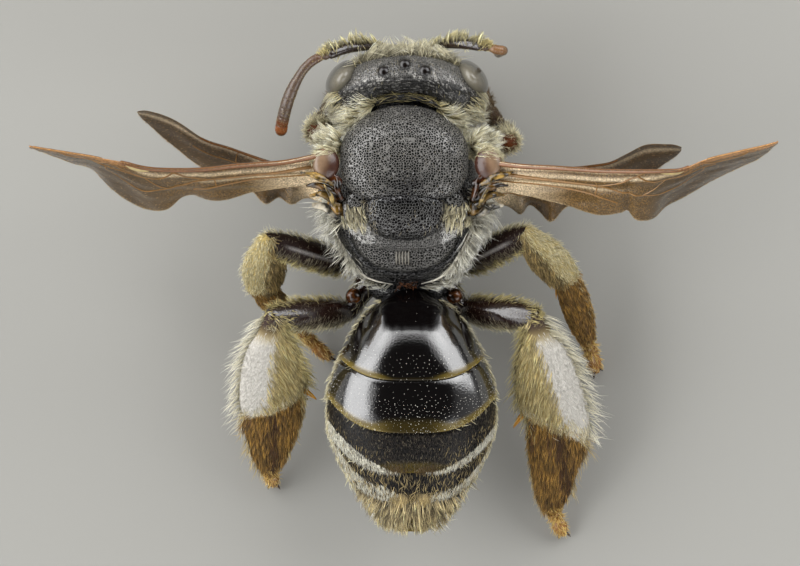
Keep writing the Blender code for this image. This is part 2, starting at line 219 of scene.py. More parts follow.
def skin_piece(name, skin, finish, shade, slot, *nodes):
    """Makes a skin's mesh, its rings joined side to side and a fan closing each end, and keeps it."""
    rows, columns = skin.points.shape[:2]
    index = np.arange(rows * columns).reshape(rows, columns)
    beside = np.roll(index, -1, 1)
    a, b, c, d = index[:-1], index[1:], beside[1:], beside[:-1]
    first, last = np.full(columns, rows * columns), np.full(columns, rows * columns + 1)
    triangles = np.concatenate([
        np.stack([a, b, c], -1).reshape(-1, 3), np.stack([a, c, d], -1).reshape(-1, 3),
        np.stack([first, index[0], beside[0]], -1), np.stack([last, beside[-1], index[-1]], -1)])
    if skin.flipped:
        triangles = triangles[:, ::-1]
    hubs = skin.points[[0, -1]].mean(1)
    points = np.concatenate([skin.points.reshape(-1, 3), hubs])
    shade = np.asarray(shade, float)
    shades = np.broadcast_to(shade, (rows, columns, shade.shape[-1]))
    shades = np.concatenate([shades.reshape(rows * columns, -1), shades[[0, -1]].mean(1)])
    keep(mesh_object(name, points, triangles, finish, shades), slot, *nodes)


def keep(made, slot, *nodes):
    """Ties a finished piece to the frame and hides the CAD nodes it stands for; `slot`, its material slot, is
    not used.
    """
    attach(made, "root")
    if nodes:
        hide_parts(*nodes)


def lathe(table, widest, rows, columns, square):
    """Rings of a body along Y from rows of (Y, half width, top, bottom)."""
    table = np.asarray(table, float)
    y = np.linspace(table[0, 0], table[-1, 0], rows)
    half_width, top, bottom = through(table, y).T[:, :, None]
    turn = np.linspace(0, 2 * np.pi, columns, endpoint=False)[None, :]
    c, s = np.cos(turn), np.sin(turn)
    x = half_width * signed_power(c, 2 / square)
    height = np.where(s > 0, top - widest, widest - bottom)
    z = widest + height * signed_power(s, 2 / square)
    return np.stack([x, np.broadcast_to(y[:, None], x.shape), z], -1)


PLATE_CROWN, PLATE_EDGE = 2.4, 0.55  # how flat a plate's middle is and how sharply its edge falls
PLATE_TUCK = 0.03  # how far a plate's skirt draws in at each of its three rings


def plate(centre, reach, top, drops, rows, columns, skirt=0.3, square=(2.0, 2.6)):
    """A domed plate seen from above: reach and drops are each (front, rear, side)."""
    turn = np.linspace(0, 2 * np.pi, columns, endpoint=False)[None, :]
    c, s = np.cos(turn), np.sin(turn)
    span = np.sin(np.linspace(0.02, np.pi / 2, rows))[:, None]
    lengthwise = np.where(s > 0, reach[1], reach[0])
    power = 2 / np.where(s > 0, square[1], square[0])
    fall = drops[2] * c * c + np.where(s > 0, drops[1], drops[0]) * s * s
    x = centre[0] + span * reach[2] * signed_power(c, power)
    y = centre[1] + span * lengthwise * signed_power(s, power)
    z = top - fall * (1 - (1 - np.minimum(span, 1) ** PLATE_CROWN) ** PLATE_EDGE)
    dome = np.stack([x, y, z], -1)
    rim = dome[-1]
    hub = np.array((centre[0], centre[1], 0.0))
    down = [rim - UP * skirt * k / 3 - (rim - hub) * (1, 1, 0) * PLATE_TUCK * k for k in (1, 2, 3)]
    return np.concatenate([dome, np.stack(down)])


NUDGE = 0.02  # share of a limb's length over which its direction is read
CAP_TURNS = np.radians((22, 44, 64, 80))  # the rings of a limb's round end
CAP_REACH = 0.8  # length of the round end, by the limb's half width


def limb(line, widths, flat_way, rows, columns):
    """Rings round a smooth line through a few points; widths are rows of (share, breadth, thickness)."""
    line = np.asarray(line, float)
    shares = np.linspace(0, 1, len(line))
    table = np.column_stack([shares, line])
    at = np.linspace(0, 1, rows)
    centre = through(table, at)
    ahead = unit(through(table, np.minimum(at + NUDGE, 1)) - through(table, np.maximum(at - NUDGE, 0)))
    size = through(widths, at)
    centre, ahead, size = domed_end(centre, ahead, size, -1)
    centre, ahead, size = domed_end(centre, ahead, size, 1)
    across = unit(flat_way - ahead * np.sum(ahead * flat_way, -1, keepdims=True))
    through_way = np.cross(ahead, across)
    turn = np.linspace(0, 2 * np.pi, columns, endpoint=False)
    ring = across[:, None] * np.cos(turn)[:, None] * size[:, None, :1]
    ring = ring + through_way[:, None] * np.sin(turn)[:, None] * size[:, None, 1:2]
    return centre[:, None] + ring


def domed_end(centre, ahead, size, sign):
    """Adds the rings that round off one end of a limb."""
    end = 0 if sign < 0 else -1
    turns = CAP_TURNS[::-1] if sign < 0 else CAP_TURNS
    reach = np.sqrt(size[end].prod()) * CAP_REACH
    cap = (
        centre[end] + ahead[end] * sign * reach * np.sin(turns)[:, None],
        np.repeat(ahead[end][None], len(turns), 0),
        size[end] * np.cos(turns)[:, None],
    )
    body = (centre, ahead, size)
    pairs = zip(cap, body) if sign < 0 else zip(body, cap)
    return [np.concatenate(pair) for pair in pairs]


def ball(name, centre, size, finish, slot, *nodes, turn=0.0, axis="Y", around=48, levels=32, shade=None):
    """A sphere set down at its place, then stretched and leaned in edit mode."""
    bpy.ops.object.select_all(action="DESELECT")
    place = Vector(centre) * MM + HOME
    bpy.ops.mesh.primitive_uv_sphere_add(segments=around, ring_count=levels, radius=MM, location=place)
    made = bpy.context.active_object
    made.name = made.data.name = name
    bpy.ops.object.mode_set(mode="EDIT")
    bpy.ops.mesh.select_all(action="SELECT")
    bpy.ops.transform.resize(value=tuple(size), center_override=place)
    if turn:
        bpy.ops.transform.rotate(value=turn, orient_axis=axis, center_override=place)
    bpy.ops.object.mode_set(mode="OBJECT")
    bpy.ops.object.transform_apply(location=True, rotation=True, scale=True)
    bpy.ops.object.shade_smooth()
    made.data.materials.append(material_named(finish))
    if shade is not None:
        paint(made.data, shade)
    keep(made, slot, *nodes)
    return made


# ------------------------------------------------------------------ hair
HAIR_SIDES = 3
PATCH = 0.003  # side of one hair's patch on the unwrapped skin
MOST_TRIANGLES = 190000
TUFT_REACH = 0.15  # hairs rooted farther apart than this do not lean together
TAPER = 0.7  # how much a hair thins on its way to the tip


def swirl(root):
    """A slow change of direction over the skin, so that neighbouring hairs turn alike."""
    wide, narrow = 19, 37  # turns of the two waves, in radians to the millimetre
    waves = [np.sin(root[:, (k + 1) % 3] * wide + k) + np.sin(root[:, (k + 2) % 3] * narrow - k)
             for k in range(3)]
    return np.stack(waves, 1)


def lean_together(root, tip, rng, tuft):
    """How far each hair's tip is from the tip of its tuft's middle hair, and each tuft's share of light."""
    if not tuft:
        return np.zeros_like(tip), np.full(len(root), 0.5)
    leaders = rng.choice(len(root), max(2, len(root) // tuft), replace=False)
    tree = kdtree.KDTree(len(leaders))
    for i, leader in enumerate(leaders):
        tree.insert(root[leader], i)
    tree.balance()
    found = [tree.find(spot) for spot in root]
    nearest, away = np.array([f[1] for f in found]), np.array([f[2] for f in found])
    return (tip[leaders[nearest]] - tip) * (away < TUFT_REACH)[:, None], rng.random(len(leaders))[nearest]


def spaced(spots, apart):
    """Which of the spots to keep so that no two lie nearer than `apart`."""
    kept = [0]
    for i in range(1, len(spots)):
        if np.linalg.norm(spots[kept] - spots[i], axis=1).min() > apart:
            kept.append(i)
    return kept


def strand_template(rings):
    """Triangles of one hair, with the place of each corner round the hair and along it."""
    triangles, corners = [], []

    def spot(ring, side):
        return ring * HAIR_SIDES + side % HAIR_SIDES

    for ring in range(rings - 1):
        low, high = ring / rings, (ring + 1) / rings
        for side in range(HAIR_SIDES):
            left, right = side / HAIR_SIDES, (side + 1) / HAIR_SIDES
            triangles.append((spot(ring, side), spot(ring, side + 1), spot(ring + 1, side + 1)))
            corners.append(((left, low), (right, low), (right, high)))
            triangles.append((spot(ring, side), spot(ring + 1, side + 1), spot(ring + 1, side)))
            corners.append(((left, low), (right, high), (left, high)))
    tip = rings * HAIR_SIDES
    for side in range(HAIR_SIDES):
        left, right = side / HAIR_SIDES, (side + 1) / HAIR_SIDES
        triangles.append((spot(rings - 1, side), spot(rings - 1, side + 1), tip))
        corners.append(((left, 1 - 1 / rings), (right, 1 - 1 / rings), ((left + right) / 2, 1.0)))
    triangles.append((2, 1, 0))
    corners.append(((1.0, -0.2), (0.5, -0.05), (0.0, -0.2)))
    return np.array(triangles), np.array(corners)


class Coat:
    """Gathers hairs of one coat piece, then makes them as joined meshes."""

    def __init__(self, name, tiles, seed, rings=3):
        self.name, self.rings, self.tiles = name, rings, tiles
        self.rng = np.random.default_rng(seed)
        self.points, self.shades, self.places = [], [], []
        self.tile = 0

    def next_tile(self):
        self.tile += 1

    def add(self, skin, count, where, way, lift, length, width, shades, droop=0.2, curl=0.15, spread=0.25,
            tuft=0, pull=0.6, vary=0.35, clump=0.5, apart=0.0):
        """Roots `count` hairs on a skin.

        `way` is where they lie to and `lift` how steeply they stand, in degrees. `tuft` hairs at a
        time lean together, by the share `pull`; `vary` is how much hairs differ in shade and `clump`
        how much tufts do. No two roots lie nearer than `apart`.
        """
        options = bpy.context.scene.bee_sizes
        count = max(2, int(count * options.hair_count))
        rng, rings = self.rng, self.rings
        root, normal, place = skin.roots(count, where, rng)
        if apart:
            kept = spaced(root, apart)
            root, normal, place, count = root[kept], normal[kept], place[kept], len(kept)
        lie = np.broadcast_to(way(root, normal) if callable(way) else np.asarray(way, float), root.shape)
        lie = unit(lie) + rng.normal(0, spread, root.shape) + swirl(root) * spread * 0.5
        lie = unit(lie - normal * np.sum(lie * normal, 1, keepdims=True))
        angle = np.radians(np.clip(rng.normal(1, 0.2, count) * lift, 3, 88))[:, None]
        ahead = lie * np.cos(angle) + normal * np.sin(angle)
        across = unit(np.cross(ahead, normal) + 1e-9)
        long = np.asarray(length(root) if callable(length) else np.full(count, length), float)
        long = (long * np.clip(rng.normal(1, 0.2, count), 0.45, 1.5) * options.hair_length)[:, None]
        thick = np.clip(rng.normal(1, 0.15, count), 0.6, 1.5)[:, None] * width * options.hair_width / 2
        sway = across * rng.normal(0, curl, (count, 1)) - unit(np.cross(across, ahead)) * droop
        turn = rng.random((count, 1)) * 2 * np.pi
        second = np.cross(ahead, across)
        base = root - normal * width * 0.5
        lean, light = lean_together(root, base + long * (ahead + sway), rng, tuft)
        lean = lean * pull
        rows = []
        for ring in range(rings):
            t = ring / rings
            centre = base + long * (ahead * t + sway * t * t) + lean * t * t
            narrowed = thick * (1 - TAPER * t ** 1.5)
            for side in range(HAIR_SIDES):
                a = turn + 2 * np.pi * side / HAIR_SIDES
                rows.append(centre + (across * np.cos(a) + second * np.sin(a)) * narrowed)
        rows.append(base + long * (ahead + sway) + lean)
        self.points.append(np.stack(rows, 1))
        tone = rng.random((count, 1, 1))
        # the roots are darker than the tips: painted shade deep in the coat
        root_shade, tip_shade = linear(shades[0]), linear(shades[-1])
        reach = np.append(np.repeat(np.arange(rings) / rings, HAIR_SIDES), 1.0)[None, :, None]
        mix = blend(root_shade, tip_shade, np.clip(reach * 0.8 + tone * 0.4 - 0.1, 0, 1))
        light = 1 + clump * (light - 0.5)[:, None, None]
        self.shades.append(mix * light * np.maximum(1 + vary * (rng.random((count, 1, 1)) - 0.55), 0.1))
        side = math.ceil(math.sqrt(self.tiles))
        corner = np.array((self.tile % side, self.tile // side)) / side
        self.places.append(corner + place * (1 / side - 2 * PATCH) + PATCH)

    def make(self):
        """Makes the coat's meshes, each under the triangle limit."""
        points, shades = np.concatenate(self.points), np.concatenate(self.shades)
        places = np.concatenate(self.places)
        triangles, corners = strand_template(self.rings)
        per_hair = points.shape[1]
        most = MOST_TRIANGLES // len(triangles)
        pieces = math.ceil(len(points) / most)
        for piece in range(pieces):
            part = slice(piece * most, (piece + 1) * most)
            p, s, place = points[part], shades[part], places[part]
            offsets = (np.arange(len(p)) * per_hair)[:, None, None]
            uv = place[:, None, None] + (corners[None] - 0.5) * PATCH
            name = self.name if pieces == 1 else f"{self.name}_{piece + 1}"
            made = mesh_object(
                name, p.reshape(-1, 3), (triangles[None] + offsets).reshape(-1, 3), "hair",
                np.clip(s, 0, 1).reshape(-1, 3), uv.reshape(-1, 2),
            )
            keep(made, "pale_hair")


def everywhere(p, n):
    return np.ones(p.shape[:-1])


def below(p, n):
    return n[..., 2] < -0.3


# ------------------------------------------------------------- materials
SHELL_IOR = 1.56  # hardened insect skin
NET_RANDOMNESS = 0.8  # how irregular the net of ridges between the pits is


def add_node(tree, kind, inputs=None, output=0, feeds=None, **settings):
    """Adds one node and gives back one of its outputs.

    Settings are its properties, inputs are its sockets' values or what feeds them, and `feeds` is the
    socket that the output goes on to.
    """
    made = tree.nodes.new(kind)
    for key, value in settings.items():
        setattr(made, key, value)
    for key, value in (inputs or {}).items():
        if isinstance(value, bpy.types.NodeSocket):
            tree.links.new(value, made.inputs[key])
        else:
            made.inputs[key].default_value = value
    if feeds:
        tree.links.new(made.outputs[output], feeds)
    return made.outputs[output]


def new_material(name, **values):
    """A material, its nodes and its shader's sockets, with the shader's own values set."""
    material = bpy.data.materials.new(name)
    material.use_nodes = True
    tree = material.node_tree
    shader = tree.nodes["Principled BSDF"].inputs
    for key, value in values.items():
        shader[key.replace("_", " ")].default_value = value
    return material, tree, shader


def colour_skin(tree, shader, tint, pigment=None):
    """Gives a shader a pigment times a tint; without one, the pigment is the shade painted on the piece."""
    if pigment is None:
        pigment = add_node(tree, "ShaderNodeAttribute", attribute_name="shade")
    add_node(
        tree, "ShaderNodeVectorMath", {0: pigment, "Scale": tint}, operation="SCALE",
        feeds=shader["Base Color"])
    return pigment


def chitin(name, pit, depth, roughness, rim=(0.05, 0.18), darkest=0.06, grain=0.0, shine=0.9):
    """Insect shell, a hardened skin moulded in one with its pits.

    Pits `pit` millimetres apart leave a net of raised rims between them, which catches the light;
    `rim` gives half the net's width and where a pit's floor begins, as shares of that distance. A
    polished shell has shallow pits and mirrors the lamps between them; `shine` is how strongly.
    """
    material, tree, shader = new_material(name, Roughness=roughness, IOR=SHELL_IOR)
    place = add_node(tree, "ShaderNodeTexCoord", output="Object")
    edge = add_node(
        tree, "ShaderNodeTexVoronoi",
        {"Vector": place, "Scale": 1 / (pit * MM), "Randomness": NET_RANDOMNESS},
        feature="DISTANCE_TO_EDGE")
    net = add_node(
        tree, "ShaderNodeMapRange", {"Value": edge, "From Min": rim[1], "From Max": rim[0]},
        interpolation_type="SMOOTHSTEP")
    tint = add_node(tree, "ShaderNodeMapRange", {"Value": net, "To Min": darkest})
    shade = colour_skin(tree, shader, tint)
    gloss = add_node(tree, "ShaderNodeMapRange", {"Value": net, "To Min": darkest * shine, "To Max": shine})
    add_node(
        tree, "ShaderNodeMath", {0: gloss, 1: shade.node.outputs["Alpha"]}, operation="MULTIPLY",
        feeds=shader["Specular IOR Level"])
    relief = add_node(tree, "ShaderNodeBump", {"Height": net, "Strength": 1.0, "Distance": depth * MM})
    if grain:
        noise = add_node(
            tree, "ShaderNodeTexNoise", {"Vector": place, "Scale": 1 / (pit * 0.6 * MM), "Detail": 3.0})
        relief = add_node(
            tree, "ShaderNodeBump",
            {"Height": noise, "Strength": 1.0, "Distance": grain * MM, "Normal": relief})
    tree.links.new(relief, shader["Normal"])
    return material


def clouded(name, roughness, cloud, tints, depth, ior=SHELL_IOR, detail=3.0, thin=(0.0, 1.0), strength=1.0):
    """A skin whose shade and height follow one soft cloud.

    The cloud's lumps are `cloud` millimetres across, and between the shares `thin` it runs through
    the `tints`.
    """
    material, tree, shader = new_material(name, Roughness=roughness, IOR=ior)
    place = add_node(tree, "ShaderNodeTexCoord", output="Object")
    lumps = add_node(
        tree, "ShaderNodeTexNoise", {"Vector": place, "Scale": 1 / (cloud * MM), "Detail": detail})
    tint = add_node(
        tree, "ShaderNodeMapRange",
        {"Value": lumps, "From Min": thin[0], "From Max": thin[1], "To Min": tints[0], "To Max": tints[1]})
    colour_skin(tree, shader, tint)
    add_node(
        tree, "ShaderNodeBump", {"Height": lumps, "Strength": strength, "Distance": depth * MM},
        feeds=shader["Normal"])
    return material


def velvet_material():
    """Skin under the dense down of the leg brushes: dull, and streaked by the hair roots on it."""
    return clouded("brush_skin", 0.7, 0.03, (0.75, 1.2), 0.02, ior=1.5)


def horn_material():
    """Thin amber horn, hardened but not blackened: smooth, a little wavy, with light in it."""
    return clouded("horn", 0.24, 0.09, (0.55, 1.4), 0.01, strength=0.6)


def hinge_material():
    """The wet-looking amber of the wing hinge: thin horn over dark muscle, so it is gold only in spots."""
    return clouded("hinge_horn", 0.16, 0.12, (0.10, 1.5), 0.009, detail=2.0, thin=(0.40, 0.66))


def hair_material():
    """Stiff branched bee hair: dull, pale horn that lets a little light through."""
    material, tree, shader = new_material("bee_hair", Roughness=0.55, IOR=1.54)
    add_node(tree, "ShaderNodeAttribute", attribute_name="shade", feeds=shader["Base Color"])
    return material


def cornea_material():
    """The many small lenses of an insect's eye: a clear hard skin over grey pigment.

    The lenses are too fine to tell apart, so they only dull the mirror a little. Seen aslant, the
    pigment is darkened: a painted shade round the eye's rim.
    """
    material, tree, shader = new_material("cornea", Roughness=0.14, IOR=SHELL_IOR)
    place = add_node(tree, "ShaderNodeTexCoord", output="Object")
    facets = add_node(tree, "ShaderNodeTexVoronoi", {"Vector": place, "Scale": 1 / (0.02 * MM)})
    tint = add_node(tree, "ShaderNodeMapRange", {"Value": facets, "To Min": 1.12, "To Max": 0.8})
    # painted shade: the colour darkens where the eye is seen aslant, round its rim
    away = add_node(tree, "ShaderNodeLayerWeight", {"Blend": 0.35}, output="Facing")
    edge = add_node(
        tree, "ShaderNodeMapRange", {"Value": away, "From Min": 0.15, "To Min": 1.0, "To Max": 0.06})
    tint = add_node(tree, "ShaderNodeMath", {0: tint, 1: edge}, operation="MULTIPLY")
    colour_skin(tree, shader, tint, tuple(colour("eye")))
    add_node(
        tree, "ShaderNodeBump", {"Height": facets, "Strength": 0.3, "Distance": 0.001 * MM}, invert=True,
        feeds=shader["Normal"])
    return material


def lens_material():
    """A single simple eye: one clear drop over black."""
    material, tree, shader = new_material("single_lens", Roughness=0.2, IOR=SHELL_IOR)
    place = add_node(tree, "ShaderNodeTexCoord", output="Object")
    cloud = add_node(tree, "ShaderNodeTexNoise", {"Vector": place, "Scale": 1 / (0.05 * MM)})
    tint = add_node(tree, "ShaderNodeMapRange", {"Value": cloud, "To Min": 0.6, "To Max": 1.4})
    colour_skin(tree, shader, tint, tuple(linear("#0E0806")))
    return material


def membrane_material():
    """Wing membrane: clear horn a few thousandths of a millimetre thick, smoky and set with tiny hairs.

    Fine noise gives the stippled look of the hairs; the alpha lets the ground show through.
    """
    material, tree, shader = new_material(
        "wing_membrane", Roughness=0.2, IOR=SHELL_IOR, Alpha=0.78, Specular_IOR_Level=0.25)
    place = add_node(tree, "ShaderNodeTexCoord", output="Object")
    stipple = add_node(
        tree, "ShaderNodeTexNoise", {"Vector": place, "Scale": 1 / (0.024 * MM), "Detail": 1.0})
    cloud = add_node(tree, "ShaderNodeTexNoise", {"Vector": place, "Scale": 1 / (0.35 * MM), "Detail": 2.0})
    dots = add_node(
        tree, "ShaderNodeMapRange",
        {"Value": stipple, "From Min": 0.35, "From Max": 0.68, "To Min": 0.6, "To Max": 1.6})
    blotch = add_node(tree, "ShaderNodeMapRange", {"Value": cloud, "To Min": 0.75, "To Max": 1.25})
    tint = add_node(tree, "ShaderNodeMath", {0: dots, 1: blotch}, operation="MULTIPLY")
    colour_skin(tree, shader, tint)
    add_node(
        tree, "ShaderNodeBump", {"Height": cloud, "Strength": 0.6, "Distance": 0.05 * MM},
        feeds=shader["Normal"])
    return material


SMOOTH_PITS = (0.0, 0.3)  # the rim of a shell whose pits hardly show
# shells by key: name, from pit to pit and depth in millimetres, roughness, and what else differs
SHELLS = {
    "crown": ("crown_shell", 0.034, 0.013, 0.27, dict(darkest=0.22)),
    "pitted": ("pitted_shell", 0.041, 0.018, 0.22, {}),
    "coarse": ("coarse_shell", 0.046, 0.020, 0.22, dict(grain=0.008, shine=1.0)),
    "fine": ("shagreened_shell", 0.034, 0.010, 0.30, dict(darkest=0.12, grain=0.006)),
    "polished": ("polished_shell", 0.05, 0.0004, 0.11, dict(rim=SMOOTH_PITS, darkest=0.93, shine=1.4)),
    "ring": ("ring_shell", 0.05, 0.0015, 0.34, dict(rim=SMOOTH_PITS, darkest=0.5, shine=0.2)),
    "leg": ("leg_shell", 0.05, 0.0008, 0.15, dict(rim=SMOOTH_PITS, darkest=0.85)),
    "dull_leg": ("dull_leg_shell", 0.03, 0.002, 0.40, dict(rim=SMOOTH_PITS, darkest=0.5, shine=0.15)),
}
OTHER_FINISHES = {
    "hinge": hinge_material,
    "horn": horn_material,
    "velvet": velvet_material,
    "hair": hair_material,
    "cornea": cornea_material,
    "lens": lens_material,
    "membrane": membrane_material,
}
MATERIALS = {}


def material_named(key):
    """Each material, made when it is first asked for."""
    if key not in MATERIALS:
        if key in SHELLS:
            *sizes, more = SHELLS[key]
            MATERIALS[key] = chitin(*sizes, **more)
        else:
            MATERIALS[key] = OTHER_FINISHES[key]()
    return MATERIALS[key]


# ------------------------------------------------------------------ head
HEAD_Y, HEAD_WIDEST = -1.42, 1.95
HEAD_TOP, HEAD_FOOT = 2.80, 0.86
HEAD_HALF_WIDTH = 1.25
HEAD_SQUARE = 2.6  # how boxy the head is from side to side
HEAD_CURVE = 0.20  # how far the sides bend back, for each square millimetre outwards
FACE_DEPTH, NAPE_DEPTH, TEMPLE_DEPTH = 0.46, 0.30, 0.62
EYE_CENTRE, EYE_SIZE = (1.065, -1.44, 1.97), (0.35, 0.22, 0.74)
EYE_TURN = math.radians(-50)
OCELLUS_SIZE, OCELLUS_SUNK = (0.11, 0.11, 0.11 * 0.85), 0.035
NECK_CENTRE, NECK_SIZE = (0.03, -1.00, 2.00), (0.80, 0.36, 0.36)
OCELLI = ((0.035, -1.655), (0.385, -1.545), (-0.305, -1.555))


def head_skin():
    """The head's shell, with its poles under the eyes; seen from above it is a fat crescent."""
    a = np.linspace(0.02, np.pi - 0.02, 150)[:, None]
    t = np.linspace(0, 2 * np.pi, 220, endpoint=False)[None, :]
    x = HEAD_HALF_WIDTH * signed_power(np.cos(a), 2 / HEAD_SQUARE) + 0 * t
    size = signed_power(np.sin(a), 2 / HEAD_SQUARE)
    front, above = np.cos(t) > 0, np.sin(t) > 0
    power = np.where(above & front, 2 / 2.9, 1.0)
    ahead, up = signed_power(np.cos(t), power) * size, signed_power(np.sin(t), power) * size
    tall = np.where(above, HEAD_TOP - HEAD_WIDEST, HEAD_WIDEST - HEAD_FOOT)
    z = HEAD_WIDEST + tall * up
    x = x * np.where(above, 1.0, 1 - 0.25 * up * up)
    rear = NAPE_DEPTH + (TEMPLE_DEPTH - NAPE_DEPTH) * smooth(0.3, 1.05, np.abs(x))
    depth = -np.where(front, FACE_DEPTH, rear) * ahead
    face = smooth(0.25, 0.7, ahead / np.maximum(size, 0.05)) * (z < 2.4)
    depth = depth - face * 0.08 * bump(x, 0, 0.42) * smooth(0.9, 1.02, z) * (1 - smooth(1.42, 1.52, z))
    depth = depth - face * 0.05 * bump(x, 0, 0.16) * bump(z, 1.72, 0.25)
    for side in (1, -1):
        depth = depth + face * 0.07 * bump(x, side * 0.3, 0.13) * bump(z, 1.86, 0.16)
    y = HEAD_Y + depth + HEAD_CURVE * x * x
    level = y - HEAD_CURVE * x * x
    z = z + above * (0.035 * bump(level, -1.44, 0.09) - 0.03 * bump(level, -1.30, 0.08))
    for spot_x, spot_y in OCELLI:
        away = np.hypot(x - spot_x, y - spot_y)
        z = z + above * (0.014 * bump(away, 0.115, 0.03) - 0.02 * bump(away, 0, 0.06))
    return Skin(np.stack([x, y, z], -1))


def head_level(p):
    """How far back a place on the head is, with the head's bend taken out."""
    return p[..., 1] - HEAD_CURVE * p[..., 0] ** 2


def highest(skin, x, y):
    """The skin's point and normal straight below a place, seen from above."""
    near = np.linalg.norm(skin.points[..., :2] - np.array((x, y)), axis=-1)
    near = near + 9 * (skin.normals[..., 2] < 0.02)
    at = np.unravel_index(np.argmin(near), near.shape)
    return skin.points[at], skin.normals[at]


SKINS = {}


def build_head():
    """The shell, with painted sheen in front of the crest and painted glints on the black behind it, and the
    three small eyes.
    """
    skin = SKINS["head"] = head_skin()
    level = head_level(skin.points)
    # painted sheen on the flat front of the crown; behind the crest the shell is black
    lit = 1.15 - 1.1 * smooth(-1.52, -1.40, level)
    glint = np.random.default_rng(5).random((level.shape[0], level.shape[1] // 2)).repeat(2, 1)
    # painted glints: single bright grains along the crest and on the slope behind it
    glint_zone = bump(level, -1.45, 0.07) + 0.35 * smooth(-1.45, -1.38, level) * (1 - smooth(-1.10, -0.95, level))
    lit = lit + 3.0 * (glint > 0.78) * glint_zone + 0.5 * (glint > 0.5) * bump(level, -1.45, 0.06)
    for x, y in OCELLI:
        away = np.hypot(skin.points[..., 0] - x, skin.points[..., 1] - y)
        outer = smooth(0.0, 0.06, (skin.points[..., 0] - x) * (1 if x > 0.1 else -1))
        # painted shade in the hollow round each small eye, and a painted highlight crescent on its outer side
        lit = lit * (1 - 0.95 * bump(away, 0, 0.15)) + 1.0 * bump(away, 0.15, 0.025) * outer
    black, grey = colour("shell"), colour("painted_sheen")
    tint = blend(black, grey, lit[..., None])
    skin_piece("head_shell", skin, "crown", tint, "black_chitin", "head", "neck")
    ball("neck_shell", NECK_CENTRE, NECK_SIZE, "coarse", "black_chitin", around=64, levels=40, shade=black)
    for i, (x, y) in enumerate(OCELLI):
        spot, normal = highest(skin, x, y)
        ball(f"ocellus_{i + 1}", spot - normal * OCELLUS_SUNK, OCELLUS_SIZE, "lens", "cornea",
             around=24, levels=16)


def build_eyes():
    for label, side in SIDES:
        ball(f"eye_surface_{label}", sideways(EYE_CENTRE, side), EYE_SIZE, "cornea", "cornea", f"eye_{label}",
             turn=EYE_TURN * side, axis="Z", around=64, levels=48)


JAW = ((0.50, -1.62, 1.00), (0.44, -1.76, 0.84), (0.26, -1.86, 0.74), (0.05, -1.84, 0.68))
JAW_WIDTHS = [(0.0, 0.17, 0.12), (0.5, 0.13, 0.10), (0.85, 0.10, 0.06), (1.0, 0.04, 0.03)]
LIP = ((-0.24, -1.80, 0.86), (0.0, -1.86, 0.82), (0.24, -1.80, 0.86))


def build_jaws():
    brown = colour("leg")
    for label, side in SIDES:
        skin = Skin(limb([sideways(p, side) for p in JAW], JAW_WIDTHS, np.array((0, 0.3, 1.0)), 30, 18))
        tint = brown + np.linspace(0, 1, len(skin.points))[:, None, None] ** 2 * linear("#5A2A12")
        skin_piece(f"jaw_{label}", skin, "leg", tint, "brown_chitin", f"mandible_{label}")
    lip = Skin(limb(LIP, [(0, 0.05, 0.05), (0.5, 0.10, 0.05), (1, 0.05, 0.05)], UP, 20, 14))
    skin_piece("upper_lip", lip, "leg", brown, "brown_chitin")


# -------------------------------------------------------------- antennae
SCAPES = {
    "left": [(0.30, -1.84, 1.90), (0.62, -1.95, 2.20), (0.96, -1.93, 2.44), (1.26, -1.83, 2.58)],
    "right": [(-0.30, -1.84, 1.90), (-0.62, -1.98, 2.20), (-0.90, -2.00, 2.44), (-1.20, -1.96, 2.58)],
}
PEDICELS = {
    "left": [(1.27, -1.83, 2.585), (1.40, -1.79, 2.60)],
    "right": [(-1.22, -1.96, 2.585), (-1.36, -1.94, 2.61)],
}
FLAGELLA = {
    "left": [(1.40, -1.79, 2.60), (1.53, -1.73, 2.62), (1.68, -1.60, 2.62), (1.79, -1.44, 2.59),
             (1.885, -1.26, 2.54), (1.965, -1.06, 2.48), (2.02, -0.87, 2.42), (2.06, -0.70, 2.35),
             (2.08, -0.56, 2.28)],
    "right": [(-1.37, -1.935, 2.61), (-1.48, -1.90, 2.62), (-1.56, -1.89, 2.59), (-1.585, -1.885, 2.48),
              (-1.56, -1.885, 2.25), (-1.54, -1.885, 1.95), (-1.53, -1.885, 1.62), (-1.525, -1.885, 1.32),
              (-1.52, -1.88, 1.05)],
}
FLAGELLUM_JOINTS = 10
FLAGELLUM_RADIUS = 0.104
FLAGELLUM_SWELL = {"left": 0.24, "right": 0.08}  # how much thicker it gets after its first joints
SCAPE_WIDTHS = [(0, 0.09, 0.09), (0.1, 0.07, 0.07), (0.6, 0.085, 0.085), (1, 0.085, 0.085)]
PEDICEL_WIDTHS = [(0, 0.05, 0.05), (0.6, 0.08, 0.08), (1, 0.06, 0.06)]


